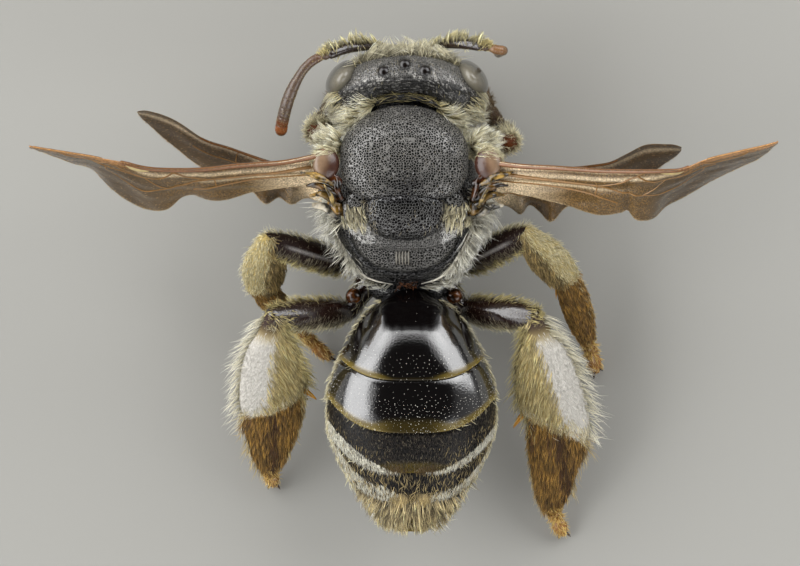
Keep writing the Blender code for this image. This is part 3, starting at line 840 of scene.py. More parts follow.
def build_antennae():
    brown, rust = colour("feeler"), linear("#8A4E26")
    rows = 14 * FLAGELLUM_JOINTS
    for label, swell in FLAGELLUM_SWELL.items():
        scape = SKINS[f"scape_{label}"] = Skin(limb(SCAPES[label], SCAPE_WIDTHS, UP, 40, 18))
        skin_piece(f"feeler_base_{label}", scape, "leg", colour("leg"), "brown_chitin", f"scape_{label}")
        knob = SKINS[f"pedicel_{label}"] = Skin(limb(PEDICELS[label], PEDICEL_WIDTHS, UP, 14, 18))
        skin_piece(f"feeler_knob_{label}", knob, "horn", brown, "brown_chitin")
        share = np.linspace(0, 1, rows)
        within = (share * FLAGELLUM_JOINTS) % 1
        thick = FLAGELLUM_RADIUS * (1 - 0.07 * np.exp(-(np.minimum(within, 1 - within) / 0.07) ** 2))
        thick = thick * (0.62 + 0.14 * smooth(0, 0.1, share) + swell * smooth(0.3, 0.6, share))
        line = np.array(FLAGELLA[label])
        axis = np.cross(line[1] - line[0], line[-1] - line[-2])
        rod = SKINS[f"flagellum_{label}"] = Skin(
            limb(line, np.column_stack([share, thick, thick]), axis, rows, 24))
        along = np.linspace(0, 1, len(rod.points))[:, None, None]
        base = 1 - smooth(0.05, 0.3, along)
        tint = blend(brown, rust * 0.6, smooth(0.76, 0.86, along) + base * 0.35)
        tint = blend(tint, rust, smooth(0.885, 0.9, along) - smooth(0.965, 0.98, along) * 0.8)
        if label == "right":
            tint = blend(tint, linear("#7E5A3A"), 1 - smooth(0.25, 0.4, along))
        skin_piece(f"feeler_rod_{label}", rod, "horn", tint, "amber_chitin", f"flagellum_{label}")


# ---------------------------------------------------------------- thorax
TRUNK = [
    (-0.90, 0.36, 2.26, 1.78), (-0.76, 0.70, 2.46, 1.52), (-0.48, 0.98, 2.60, 1.26),
    (0.00, 1.12, 2.68, 1.13), (0.45, 1.27, 2.74, 1.08), (0.90, 1.27, 2.70, 1.12),
    (1.24, 1.12, 2.55, 1.20), (1.53, 0.95, 2.36, 1.32), (1.81, 0.74, 2.08, 1.44),
    (1.95, 0.50, 1.88, 1.56), (2.01, 0.22, 1.78, 1.66),
]
TRUNK_WIDEST = 1.85
SCUTUM = dict(
    centre=(0.045, -0.165), reach=(0.825, 0.79, 1.06), top=3.05, drops=(0.66, 0.20, 0.46), square=(2.0, 3.0)
)
SCUTELLUM = dict(
    centre=(0.04, 0.62), reach=(0.12, 0.63, 0.67), top=3.01, drops=(0.05, 0.34, 0.26), square=(2.0, 2.5)
)
METANOTUM = dict(
    centre=(0.03, 0.62), reach=(0.12, 0.79, 1.03), top=2.75, drops=(0.05, 0.20, 0.14), square=(2.0, 2.5)
)
AXILLA = dict(reach=(0.10, 0.16, 0.17), top=2.76, drops=(0.04, 0.08, 0.10))
COLLAR = [
    (0.86, -0.74, 2.34), (0.62, -1.00, 2.42), (0.30, -1.10, 2.48), (0.0, -1.115, 2.49),
    (-0.30, -1.08, 2.48), (-0.55, -0.94, 2.42), (-0.76, -0.72, 2.34),
]
# the pale keels at the sides of the hind thorax, from above
CARINAE = {
    "left": [(1.36, 0.62), (1.25, 0.91), (1.11, 1.24), (0.94, 1.53), (0.74, 1.80), (0.52, 1.91),
             (0.24, 1.97)],
    "right": [(-1.20, 0.62), (-1.12, 0.91), (-1.00, 1.22), (-0.85, 1.50), (-0.67, 1.76), (-0.48, 1.89),
              (-0.24, 1.96)],
}
COLLAR_WIDTHS = [(0, 0.05, 0.05), (0.5, 0.075, 0.06), (1, 0.05, 0.05)]
BACK_STREAKS = (0.175, 0.125, 0.075, 0.025, -0.025)
STREAK_WIDTHS = [(0, 0.005, 0.01), (0.5, 0.010, 0.016), (1, 0.004, 0.008)]
KEEL_WIDTHS = [(0, 0.02, 0.02), (0.5, 0.035, 0.022), (0.8, 0.02, 0.016), (1, 0.008, 0.008)]
HIND_HINGE = ((0.83, 2.16, 1.42), (0.14, 0.13, 0.11))
WAIST = ((-0.02, 2.04, 1.44), (0.66, 0.30, 0.27))
PRONOTAL_LOBE = ((1.20, -0.36, 2.40), (0.18, 0.17, 0.12))
TEGULA_CENTRE, TEGULA_SIZE = (1.335, -0.02, 2.80), (0.225, 0.27, 0.12)
TEGULA_TURN = math.radians(12)
# crumpled plates of the wing hinge: points of each, its half width, its shade's hex
HINGE_PLATES = (
    (((1.74, 0.12, 2.86), (1.46, 0.20, 2.90), (1.20, 0.34, 2.80)), 0.055, "#8A6E38"),
    (((1.66, 0.34, 2.76), (1.40, 0.36, 2.84), (1.16, 0.48, 2.74)), 0.060, "#4E3612"),
    (((1.60, 0.50, 2.62), (1.38, 0.50, 2.74), (1.12, 0.66, 2.66)), 0.055, "#7A6030"),
    (((1.50, 0.22, 2.74), (1.28, 0.24, 2.80), (1.10, 0.30, 2.74)), 0.095, "#3A1C0A"),
    (((1.46, 0.42, 2.66), (1.24, 0.48, 2.72), (1.06, 0.58, 2.62)), 0.090, "#3E240C"),
    (((1.30, 0.60, 2.58), (1.16, 0.68, 2.60), (1.02, 0.80, 2.54)), 0.100, "#6E5220"),
    (((1.56, 0.66, 2.44), (1.36, 0.70, 2.52), (1.16, 0.84, 2.48)), 0.080, "#A49C8A"),
    (((1.22, 0.10, 2.78), (1.16, 0.34, 2.80), (1.08, 0.56, 2.74)), 0.060, "#3E2008"),
    (((1.36, 0.34, 2.86), (1.26, 0.50, 2.84), (1.20, 0.68, 2.72)), 0.040, "#9A824E"),
)
HINGE_WIDTHS = ((0, 0.3, 0.02), (0.3, 0.8, 0.03), (0.7, 1.0, 0.04), (1, 0.6, 0.03))
CRUMPLE = 0.032  # how far a hinge plate's surface strays


def crumpled(rings, seed):
    """Rings of points pushed about by smooth waves, as thin shell dries."""
    wave = np.sin(rings @ np.array((17, 11, 14)) + seed) + np.sin(rings @ np.array((-12, 20, 17)) + 2 * seed)
    way = unit(np.array((np.sin(seed), np.cos(seed), 1.2)))
    return rings + CRUMPLE * 0.5 * wave[..., None] * way


def trunk_skin():
    """The trunk with the half-moon field behind the back plates, sunk a little into it."""
    rings = lathe(TRUNK, TRUNK_WIDEST, rows=150, columns=200, square=2.5)
    x, y, z = rings[..., 0], rings[..., 1], rings[..., 2]
    field = (np.abs((x - 0.03) / 0.92) ** 2.2 + np.abs((y - 0.9) / 0.87) ** 2.2) * (y > 0.9) + 9 * (y <= 0.9)
    above = z > 2.0
    rings[..., 2] = z + above * (0.03 * (1 - smooth(0.9, 1.0, field)) - 0.03 * bump(field, 1.06, 0.06))
    # painted sheen on the raised field on top, and painted shade in the groove round it
    lit = above * (1 - 0.8 * bump(field, 1.04, 0.07)) * (0.12 + 0.75 * (1 - smooth(0.9, 1.02, field)))
    return Skin(rings), lit


def build_thorax():
    black, grey = colour("shell"), colour("painted_sheen")
    trunk, lit = trunk_skin()
    SKINS["trunk"] = trunk
    skin_piece("trunk_shell", trunk, "coarse", blend(black, grey, lit[..., None]), "black_chitin",
               "thorax_front", "thorax_scutellum", "thorax_propodeum", "waist")
    back = SKINS["scutum"] = Skin(plate(**SCUTUM, rows=64, columns=320))
    skin_piece("back_plate", back, "pitted", back_shade(back, black, grey), "black_chitin")
    shield = SKINS["scutellum"] = Skin(plate(**SCUTELLUM, rows=40, columns=160))
    # painted sheen on the shield, with painted shade at its front seam and towards its hind edge
    lit = 0.75 * (smooth(0.60, 0.68, shield.points[..., 1]) - 0.5 * smooth(1.10, 1.24, shield.points[..., 1]))
    skin_piece("back_shield", shield, "coarse", blend(black, grey * 0.34, lit[..., None]), "black_chitin")
    ridge = SKINS["metanotum"] = Skin(plate(**METANOTUM, rows=40, columns=160, skirt=0.2))
    # painted sheen: the ridge's even grey stands for light on its fine pits
    skin_piece("back_ridge", ridge, "fine", grey * 0.9, "black_chitin")
    collar = SKINS["collar"] = Skin(limb(COLLAR, COLLAR_WIDTHS, UP, 60, 16))
    skin_piece("collar_ridge", collar, "coarse", black, "black_chitin")
    ball("waist_shell", *WAIST, "coarse", "black_chitin", around=64, levels=40, shade=black)
    for i, x in enumerate(BACK_STREAKS):
        line = [(x, y, highest(trunk, x, y)[0][2] + 0.004) for y in (1.43, 1.50, 1.57, 1.64)]
        streak = Skin(limb(line, STREAK_WIDTHS, BACKWARD, 16, 8))
        skin_piece(f"back_streak_{i + 1}", streak, "horn", linear("#7E7A70"), "black_chitin")
    for label, side in SIDES:
        build_thorax_side(label, side, trunk)


def back_shade(back, black, grey):
    """The back plate's shade: painted sheen between the pits, a pale line down its front half, two faint
    lines, a dull hind patch and painted shade towards the groove at its hind edge.
    """
    x, y = back.points[..., 0] - SCUTUM["centre"][0], back.points[..., 1]
    lit = 1 + 0.6 * bump(x, 0.02, 0.012) * bump(y, -0.55, 0.28)
    lit = lit - 0.25 * (bump(x, 0.76, 0.02) + bump(x, -0.74, 0.02)) * bump(y, -0.2, 0.2)
    # the painted sheen rises and falls gently across the plate
    lit = lit * (1 + 0.12 * np.sin(9 * x + 4 * y) * np.sin(7 * y - 5 * x))
    # less painted sheen on the dull patch behind the middle, and painted shade towards the groove at the hind
    # edge
    lit = lit - 0.85 * bump(x, -0.03, 0.40) * bump(y, 0.34, 0.26) - 0.75 * smooth(0.44, 0.60, y)
    return blend(black, grey, np.clip(lit, 0, 2)[..., None])


def build_thorax_side(label, side, trunk):
    """Wing cap, wing hinge, the lobe before them, the plate's corner and the keel of one side."""
    corner = Skin(plate(centre=(0.80 * side + 0.04, 0.56), **AXILLA, rows=18, columns=60, skirt=0.2))
    # painted sheen: a dimmer grey for light on the corner plate
    skin_piece(f"back_corner_{label}", corner, "coarse", colour("painted_sheen") * 0.6, "black_chitin")
    spot, size = PRONOTAL_LOBE
    ball(f"front_lobe_{label}", sideways(spot, side), size, "coarse", "black_chitin", around=40, levels=24,
         shade=colour("shell"))
    cap = ball(f"wing_cap_{label}", sideways(TEGULA_CENTRE, side), TEGULA_SIZE, "horn", "amber_chitin",
               f"tegula_{label}", turn=TEGULA_TURN * side)
    paint(cap.data, cap_shade(cap.data, side))
    for i, (points, radius, code) in enumerate(HINGE_PLATES):
        line = [sideways(point, side) for point in points]
        widths = [(share, radius * breadth, thick) for share, breadth, thick in HINGE_WIDTHS]
        bar = Skin(crumpled(limb(line, widths, BACKWARD, 26, 14), i + side))
        shade = linear(code) * (0.6 + 0.8 * np.linspace(1, 0, len(bar.points)))[:, None, None]
        skin_piece(f"wing_hinge_{label}_{i + 1}", bar, "hinge", shade, "amber_chitin")
    line = [(x, y, highest(trunk, x, y)[0][2] + 0.02) for x, y in CARINAE[label]]
    keel = SKINS[f"keel_{label}"] = Skin(limb(line, KEEL_WIDTHS, UP, 90, 8))
    fade = 1 - 0.6 * smooth(0.75, 0.95, np.linspace(0, 1, len(keel.points)))
    skin_piece(f"side_keel_{label}", keel, "horn", linear("#E6E0D0") * fade[:, None, None], "black_chitin")
    spot, size = HIND_HINGE
    ball(f"hind_hinge_{label}", sideways(spot, side) + (0.05, 0, 0), size, "hinge", "amber_chitin",
         around=24, levels=16, shade=linear("#4C280A"))


def cap_shade(mesh, side):
    """The wing cap is thin and pink outside, darker where the body shows through it."""
    points = np.empty(len(mesh.vertices) * 3)
    mesh.vertices.foreach_get("co", points)
    points = (points.reshape(-1, 3) - np.array(HOME)) / MM
    inner = 1 - smooth(-0.12, 0.10, (points[:, 0] * side - TEGULA_CENTRE[0]) - 0.4 * points[:, 1])
    return blend(linear("#806852"), linear("#3E2014"), inner[:, None])


# --------------------------------------------------------------- abdomen
ABDOMEN_SHIFT, ABDOMEN_WIDEST = -0.075, 1.60
# rows of (Y, half width, top, bottom)
ABDOMEN = [
    (2.05, 0.24, 1.86, 1.56), (2.13, 0.36, 2.00, 1.46), (2.28, 0.58, 2.32, 1.24), (2.60, 0.88, 2.55, 1.02),
    (2.85, 1.03, 2.645, 0.92), (3.15, 1.17, 2.71, 0.86), (3.52, 1.32, 2.72, 0.82), (3.99, 1.385, 2.69, 0.80),
    (4.60, 1.29, 2.52, 0.86), (5.16, 1.02, 2.27, 1.00), (5.68, 0.66, 1.99, 1.18), (5.92, 0.42, 1.82, 1.28),
    (6.06, 0.18, 1.66, 1.40),
]
RING_ENDS = (3.55, 4.42, 5.08, 5.55, 5.92, 6.06)
RING_BOWS = (0.21, 0.207, 0.24, 0.34, 0.42, 0.42)
BOW_POWER = 3.2
RING_LIP = 0.030  # how far each ring's edge stands over the next
LIP_SHARES, LIP_TUCKS = (1.004, 0.996, 0.96, 0.86), (0.014, 0.030, 0.040, 0.055)  # how the edge folds in
RING_OVERLAP = 0.10
RING_SQUARE = 2.5  # how flat the rings are on top
RING_ROWS, RING_COLUMNS = 52, 150
# each ring's see-through hind edge: millimetres wide in the middle, at the sides, strength in each
RIMS = (
    (0.05, 0.13, 0.05, 0.75), (0.26, 0.15, 0.16, 0.70), (0.20, 0.10, 0.5, 0.2), (0.14, 0.06, 0.4, 0.2),
    (0.20, 0.10, 0.5, 0.3), (0.14, 0.14, 0.9, 0.9),
)


def abdomen_ring(index):
    """One ring of the abdomen: it swells gently to a lip that overhangs the next ring."""
    first, last = index == 0, index == len(RING_ENDS) - 1
    end, bow_end = RING_ENDS[index], RING_BOWS[index]
    start = ABDOMEN[0][0] if first else RING_ENDS[index - 1] - RING_OVERLAP
    bow_start = 0.0 if first else RING_BOWS[index - 1]
    share = np.linspace(0, 1, RING_ROWS)
    tuck = np.zeros(RING_ROWS)
    if not last:
        share = np.append(share, LIP_SHARES)
        tuck = np.append(tuck, LIP_TUCKS)
    swell = RING_LIP * np.minimum(share, 1) - tuck
    if not first:
        swell = swell - 0.04 * (1 - smooth(0, 0.22, share)) * (tuck == 0)
    turn = np.linspace(0, 2 * np.pi, RING_COLUMNS, endpoint=False)[None, :]
    c, s = signed_power(np.cos(turn), 2 / RING_SQUARE), signed_power(np.sin(turn), 2 / RING_SQUARE)
    level = blend(start, end, share)[:, None] + 0 * turn
    bow = blend(bow_start, bow_end, np.clip(share, 0, 1))[:, None]
    if first:
        bow = bow_end * smooth(0.1, 1.0, share)[:, None]
    y = level
    for _ in range(12):  # the section's width depends on how far back its bowed edge has come
        half_width = through(ABDOMEN, y)[..., 0] + swell[:, None]
        x = np.maximum(half_width, 0.02) * c
        y = np.clip(level - bow * np.abs(x) ** BOW_POWER, ABDOMEN[0][0], ABDOMEN[-1][0])
    top, bottom = np.moveaxis(through(ABDOMEN, y)[..., 1:], -1, 0)
    top, bottom = top + swell[:, None], bottom - swell[:, None]
    z = ABDOMEN_WIDEST + np.where(s > 0, top - ABDOMEN_WIDEST, ABDOMEN_WIDEST - bottom) * s
    if first:  # the steep hollow face in front, over the waist
        z = z - 0.13 * (1 - smooth(0.28, 0.52, np.abs(x))) * (1 - smooth(2.34, 2.78, y)) * (s > 0)
    behind = np.maximum(end - level, 0) + 0 * x
    return Skin(np.stack([x + ABDOMEN_SHIFT, y, z], -1)), behind


def build_abdomen():
    for i, (middle, side, weak, strong) in enumerate(RIMS):
        skin, behind = abdomen_ring(i)
        SKINS[f"ring_{i + 1}"] = skin
        out = smooth(0.25, 0.7, np.abs(skin.points[..., 0] - ABDOMEN_SHIFT))
        width, strength = blend(middle, side, out), blend(weak, strong, out)
        rim = (1 - smooth(width * 0.5, width * 1.1, behind)) * strength * (skin.normals[..., 2] > -0.3)
        edge = 0.8 * bump(behind, 0.0, 0.02) * strength
        tint = blend(colour("belly"), colour("rim"), np.clip(rim + edge, 0, 1.3)[..., None])
        gloss = 1 - 0.8 * (1 - smooth(width * 0.4, width * 0.9, behind))
        if i == 0:  # the hollow front is dull too
            x, y = skin.points[..., 0] - ABDOMEN_SHIFT - 0.04, skin.points[..., 1]
            front = (1 - smooth(0.36, 0.50, np.abs(x))) * (1 - smooth(2.62, 2.78, y + 0.03 * np.sin(40 * x)))
            gloss = gloss * (1 - 0.93 * front)
        tint = np.concatenate([tint, gloss[..., None]], -1)
        skin_piece(f"abdomen_ring_{i + 1}", skin, "polished" if i < 2 else "ring", tint, "black_chitin",
                   f"abdomen_{i + 1}")


# ----------------------------------------------------------------- wings
# the flat wings' widths behind the leading edge, in millimetres, by share of the span
FOREWING_CHORD = [
    (0.0, 0.55), (0.06, 0.66), (0.2, 0.92), (0.34, 1.12), (0.42, 1.14), (0.455, 1.10), (0.49, 1.26),
    (0.58, 1.60), (0.68, 1.74), (0.78, 1.64), (0.88, 1.28), (0.95, 0.86), (0.985, 0.52), (1.0, 0.34),
]
HINDWING_CHORD = [
    (0.0, 0.60), (0.10, 0.86), (0.20, 0.88), (0.26, 0.98), (0.34, 0.96), (0.55, 0.94), (0.78, 0.78),
    (0.90, 0.56), (0.97, 0.36), (1.0, 0.22),
]
# x and height at root and tip, rise between them, and rows of (share, front edge Y, hind edge Y)
WINGS = {
    "forewing_left": dict(
        ends=((1.50, 2.84), (6.17, 4.80)), rise=0.05, chord=FOREWING_CHORD,
        edges=[(0.0, -0.19, 0.30), (0.12, -0.08, 0.38), (0.22, -0.045, 0.45), (0.305, -0.01, 0.555),
               (0.38, 0.035, 0.573), (0.45, 0.052, 0.515), (0.475, 0.052, 0.56), (0.528, 0.05, 0.72),
               (0.592, 0.03, 0.755), (0.676, -0.055, 0.54), (0.745, -0.105, 0.28), (0.78, -0.135, 0.11),
               (0.855, -0.19, 0.0), (0.93, -0.245, -0.135), (1.0, -0.299, -0.265)]),
    "forewing_right": dict(
        ends=((-1.50, 2.84), (-6.06, 4.70)), rise=0.05, chord=FOREWING_CHORD,
        edges=[(0.0, -0.07, 0.40), (0.08, -0.025, 0.48), (0.19, 0.002, 0.60), (0.25, 0.02, 0.675),
               (0.312, 0.04, 0.759), (0.38, 0.06, 0.827), (0.445, 0.066, 0.80), (0.470, 0.068, 0.77),
               (0.485, 0.069, 0.86), (0.527, 0.07, 0.904), (0.572, 0.072, 0.86), (0.60, 0.072, 0.73),
               (0.652, 0.065, 0.574), (0.733, -0.075, 0.355), (0.853, -0.21, 0.102), (0.97, -0.335, -0.2),
               (1.0, -0.376, -0.34)]),
    "hindwing_left": dict(
        ends=((1.40, 2.14), (4.44, 2.88)), rise=0.0, chord=HINDWING_CHORD,
        edges=[(0.0, 0.10, 0.60), (0.11, 0.03, 0.56), (0.17, -0.01, 0.64), (0.235, -0.05, 0.54),
               (0.31, -0.12, 0.63), (0.38, -0.19, 0.42), (0.52, -0.34, 0.25), (0.62, -0.43, 0.12),
               (0.67, -0.50, 0.02), (0.715, -0.59, -0.07), (0.795, -0.74, -0.29), (0.91, -0.87, -0.58),
               (0.97, -0.90, -0.75), (1.0, -0.885, -0.85)]),
    "hindwing_right": dict(
        ends=((-1.40, 2.14), (-4.52, 2.82)), rise=0.0, chord=HINDWING_CHORD,
        edges=[(0.0, 0.24, 0.62), (0.11, 0.20, 0.72), (0.155, 0.18, 0.80), (0.20, 0.15, 0.66),
               (0.25, 0.12, 0.76), (0.315, 0.07, 0.93), (0.38, 0.02, 0.72), (0.45, 0.0, 0.62),
               (0.53, -0.03, 0.58), (0.63, -0.08, 0.50), (0.715, -0.20, 0.38), (0.81, -0.335, 0.2),
               (0.905, -0.345, 0.0), (0.965, -0.335, -0.13), (1.0, -0.30, -0.23)]),
}
# veins as (thickness, (share of span, millimetres behind the leading edge) ...)
FOREWING_VEINS = [
    (0.10, (0.0, 0.04), (0.2, 0.04), (0.4, 0.04), (0.6, 0.04), (0.68, 0.06)),
    (0.05, (0.75, 0.05), (0.85, 0.03), (0.93, 0.03), (0.985, 0.06)),
    (0.045, (0.73, 0.22), (0.78, 0.38), (0.86, 0.36), (0.93, 0.10)),
    (0.075, (0.0, 0.24), (0.15, 0.32), (0.30, 0.41), (0.36, 0.44)),
    (0.045, (0.36, 0.44), (0.42, 0.36), (0.50, 0.22), (0.55, 0.08)),
    (0.04, (0.50, 0.22), (0.56, 0.38), (0.61, 0.46), (0.69, 0.52), (0.78, 0.56)),
    (0.035, (0.61, 0.46), (0.67, 0.38), (0.71, 0.24)),
    (0.035, (0.78, 0.38), (0.775, 0.47), (0.78, 0.56)),
    (0.045, (0.36, 0.44), (0.44, 0.58), (0.52, 0.72), (0.60, 0.92)),
    (0.035, (0.52, 0.72), (0.57, 0.60), (0.61, 0.46)),
    (0.03, (0.74, 0.54), (0.73, 0.74), (0.68, 0.92)),
    (0.03, (0.60, 0.92), (0.64, 0.95), (0.68, 0.92)),
    (0.035, (0.36, 0.44), (0.355, 0.54), (0.35, 0.66)),
    (0.05, (0.0, 0.36), (0.15, 0.50), (0.35, 0.66), (0.43, 0.86)),
]
HINDWING_VEINS = [
    (0.06, (0.0, 0.04), (0.3, 0.03), (0.55, 0.03), (0.66, 0.03)),
    (0.045, (0.0, 0.20), (0.25, 0.30), (0.45, 0.36), (0.70, 0.38)),
    (0.035, (0.42, 0.03), (0.46, 0.18), (0.47, 0.36)),
    (0.035, (0.34, 0.34), (0.33, 0.44), (0.30, 0.54)),
    (0.04, (0.0, 0.36), (0.2, 0.50), (0.38, 0.66)),
]
MEMBRANE_HALF = 0.007
FLUTE = 0.34  # from one pleat of a wing to the next
PLEAT_DEPTH, RIPPLE_DEPTH = 0.045, 0.02
SPOT_SHARES, SPOT_BEHIND = (0.585, 0.61, 0.635, 0.66), (0.10, 0.14, 0.14, 0.10)  # the forewing's pale spot
SPOT_WIDTHS = [(0, 0.03, 0.02), (0.3, 0.10, 0.03), (0.7, 0.09, 0.03), (1, 0.03, 0.02)]


def wing_point(shape, share, behind):
    """(point, normal) on a wing at a share of its span and a distance behind its leading edge.

    The wing is as steep as it has to be for its width to fall between its two edges as seen from above.
    """
    share, behind = np.broadcast_arrays(np.asarray(share, float), np.asarray(behind, float))
    (root_x, root_z), (tip_x, tip_z) = shape["ends"]
    front, rear = np.moveaxis(through(shape["edges"], share), -1, 0)
    chord = through(shape["chord"], share)[..., 0]
    level = np.clip((rear - front) / chord, 0.06, 0.97)
    steep = np.sqrt(1 - level * level)
    edge = np.stack([
        blend(root_x, tip_x, share), front,
        blend(root_z, tip_z, share) + shape["rise"] * np.sin(np.pi * share)], -1)
    zero = np.zeros_like(level)
    way, normal = np.stack([zero, level, -steep], -1), np.stack([zero, steep, level], -1)
    inner = 1 - smooth(0.5, 0.85, share)
    pleat = np.cos(2 * np.pi * behind / FLUTE) * np.exp(-behind / 0.6) * (0.3 + 0.7 * inner)
    ripple = np.sin(9 * share * np.pi + 4 * behind) * smooth(0.3, 1.2, behind)
    stray = PLEAT_DEPTH * pleat + RIPPLE_DEPTH * ripple
    return edge + way * behind[..., None] + normal * stray[..., None], normal


def wing_shade(share, behind, is_fore):
    """Membrane colours: painted sheen on the forewing's pleats near the front edge with painted shade in the
    furrows between them, pale folds at the root, an amber tip.
    """
    smoky, pale = colour("membrane"), colour("channel")
    chord = through(FOREWING_CHORD if is_fore else HINDWING_CHORD, share[:, 0])[..., :1]
    if is_fore:
        inner = 1 - smooth(0.58, 0.66, share)
        # painted sheen on the pleats
        first = 1.3 * bump(behind, 0.13, 0.04) * inner
        second = bump(behind, 0.27, 0.03) * inner * smooth(0.1, 0.3, share) * 0.8
        third = bump(behind, 0.42 + 0.3 * share, 0.03) * (1 - smooth(0.30, 0.5, share)) * 0.7
        root = 0.04 * inner + (1 - smooth(0.05, 0.28, share)) * 0.75
        # painted shade in the furrows between the pleats
        furrow_shade = bump(behind, 0.20, 0.022) + bump(behind, 0.345, 0.03) + bump(behind, 0.06, 0.02)
        lit = np.clip(first + second + third + root, 0, 1.2) * (1 - 0.7 * inner * furrow_shade)
        tip = smooth(0.62, 0.72, share) * (1 - smooth(0.16, 0.34, behind))
        smoky = smoky * (1 - 0.40 * smooth(0.5, 0.6, share) * smooth(0.3, 0.6, behind))[..., None]
    else:
        lit = np.clip((1 - smooth(0.05, 0.22, share)) + 0.6 * bump(behind, 0.15, 0.05), 0, 1)
        tip = 0 * share
        smoky = smoky * 0.8 + 0 * share[..., None]
    hem = smooth(0.975, 0.995, behind / chord) * 0.5
    tint = blend(smoky, pale, np.clip(lit + hem, 0, 1.15)[..., None])
    return blend(tint, linear("#C08A52"), tip[..., None])


def build_wing(name, shape, veins):
    """A thin membrane, its veins as round tubes on it and the thick pale spot on the front edge."""
    is_fore = veins is FOREWING_VEINS
    share = np.linspace(0, 1, 120)[:, None]
    chord = through(shape["chord"], share[:, 0])
    across = np.linspace(0, 1, 44)[None, :]
    behind = chord * across
    share = np.broadcast_to(share, behind.shape)
    middle, normal = wing_point(shape, share, behind)
    half = MEMBRANE_HALF * (1 - 0.6 * across[..., None] ** 4)
    rings = np.concatenate([middle + normal * half, (middle - normal * half)[:, ::-1]], 1)
    skin = SKINS[name] = Skin(rings)
    tint = wing_shade(share, behind, is_fore)
    tint = np.concatenate([tint, tint[:, ::-1]], 1)
    skin_piece(f"{name}_membrane", skin, "membrane", tint, "wing_membrane", name)
    for i, (thick, *knots) in enumerate(veins):
        knots = np.array(knots)
        at = np.linspace(0, 1, 14)
        flat = through(np.column_stack([np.linspace(0, 1, len(knots)), knots]), at)
        line, _ = wing_point(shape, flat[:, 0], flat[:, 1])
        size = thick / 2 * (1 - 0.25 * at)
        tube = Skin(limb(line, np.column_stack([at, size, size * 0.8]), np.array((0, 0.6, 0.8)), 36, 8))
        tint = colour("vein") * 1.25 if i == 0 else linear("#8E6838")
        skin_piece(f"{name}_vein_{i + 1}", tube, "horn", tint, "wing_membrane")
    if is_fore:
        line, above = wing_point(shape, SPOT_SHARES, SPOT_BEHIND)
        spot = Skin(limb(line + above * 0.03, SPOT_WIDTHS, np.array((0, 0.4, -0.9)), 24, 16))
        skin_piece(f"{name}_spot", spot, "horn", colour("spot"), "wing_membrane")


def build_wings():
    for name, shape in WINGS.items():
        build_wing(name, shape, FOREWING_VEINS if name.startswith("fore") else HINDWING_VEINS)


# ------------------------------------------------------------------ legs
LEGS = {
    "front_left": [(0.42, -0.62, 1.15), (0.80, -0.42, 1.02), (1.52, -0.56, 1.88),
                   (1.38, -0.78, 0.98), (1.24, -1.06, 0.48), (1.14, -1.34, 0.17)],
    "front_right": [(-0.42, -0.62, 1.15), (-0.84, -0.36, 1.02), (-1.70, -0.38, 1.86),
                    (-1.54, -0.62, 0.98), (-1.36, -0.94, 0.48), (-1.24, -1.24, 0.17)],
    "middle_left": [(0.46, 0.85, 0.92), (0.98, 1.66, 1.02), (2.30, 1.26, 2.02),
                    (2.42, 2.02, 1.16), (1.90, 2.62, 0.52), (1.34, 3.16, 0.17)],
    "middle_right": [(-0.46, 0.85, 0.92), (-0.94, 1.66, 1.02), (-1.96, 1.14, 1.98),
                     (-2.66, 1.88, 1.22), (-2.99, 2.86, 0.66), (-3.15, 3.36, 0.17)],
    "hind_left": [(0.34, 1.50, 1.10), (0.96, 2.42, 1.06), (2.22, 2.50, 2.40),
                  (2.22, 4.00, 1.12), (2.29, 5.00, 0.48), (2.24, 5.26, 0.17)],
    "hind_right": [(-0.34, 1.50, 1.10), (-0.92, 2.38, 1.06), (-2.10, 2.50, 1.86),
                   (-2.50, 4.34, 1.04), (-2.40, 5.66, 0.42), (-2.58, 6.08, 0.17)],
}
JOINTS = ("coxa", "femur", "tibia", "basitarsus")
# half breadth and half thickness along each length of a leg, as rows of (share, breadth, thickness)
FRONT_LEG = {
    "coxa": [(0.0, 0.17, 0.17), (0.5, 0.20, 0.19), (0.8, 0.15, 0.15), (1.0, 0.14, 0.14)],
    "femur": [(0.0, 0.11, 0.11), (0.15, 0.17, 0.15), (0.5, 0.20, 0.19), (0.85, 0.18, 0.17),
              (1.0, 0.15, 0.15)],
    "tibia": [(0.0, 0.14, 0.14), (0.3, 0.16, 0.14), (0.8, 0.18, 0.15), (1.0, 0.14, 0.12)],
    "basitarsus": [(0.0, 0.10, 0.09), (0.3, 0.12, 0.09), (0.9, 0.10, 0.08), (1.0, 0.08, 0.07)],
}
MIDDLE_LEG = {
    "coxa": FRONT_LEG["coxa"],
    "femur": [(0.0, 0.12, 0.11), (0.15, 0.19, 0.16), (0.5, 0.22, 0.20), (0.85, 0.20, 0.16),
              (1.0, 0.15, 0.13)],
    "tibia": [(0.0, 0.16, 0.14), (0.3, 0.26, 0.17), (0.75, 0.29, 0.17), (1.0, 0.23, 0.14)],
    "basitarsus": [(0.0, 0.20, 0.11), (0.3, 0.24, 0.12), (0.8, 0.20, 0.11), (1.0, 0.14, 0.09)],
}
HIND_LEG = {
    "coxa": [(0.0, 0.19, 0.19), (0.5, 0.22, 0.20), (0.8, 0.16, 0.16), (1.0, 0.15, 0.15)],
    "femur": [(0.0, 0.13, 0.12), (0.15, 0.20, 0.17), (0.5, 0.24, 0.21), (0.85, 0.21, 0.17),
              (1.0, 0.16, 0.14)],
    "tibia": [(0.0, 0.14, 0.14), (0.18, 0.26, 0.18), (0.36, 0.42, 0.19), (0.55, 0.51, 0.20),
              (0.85, 0.54, 0.19), (1.0, 0.46, 0.15)],
    "basitarsus": [(0.0, 0.40, 0.12), (0.15, 0.48, 0.13), (0.55, 0.37, 0.12), (0.95, 0.20, 0.09),
                   (1.0, 0.16, 0.08)],
}
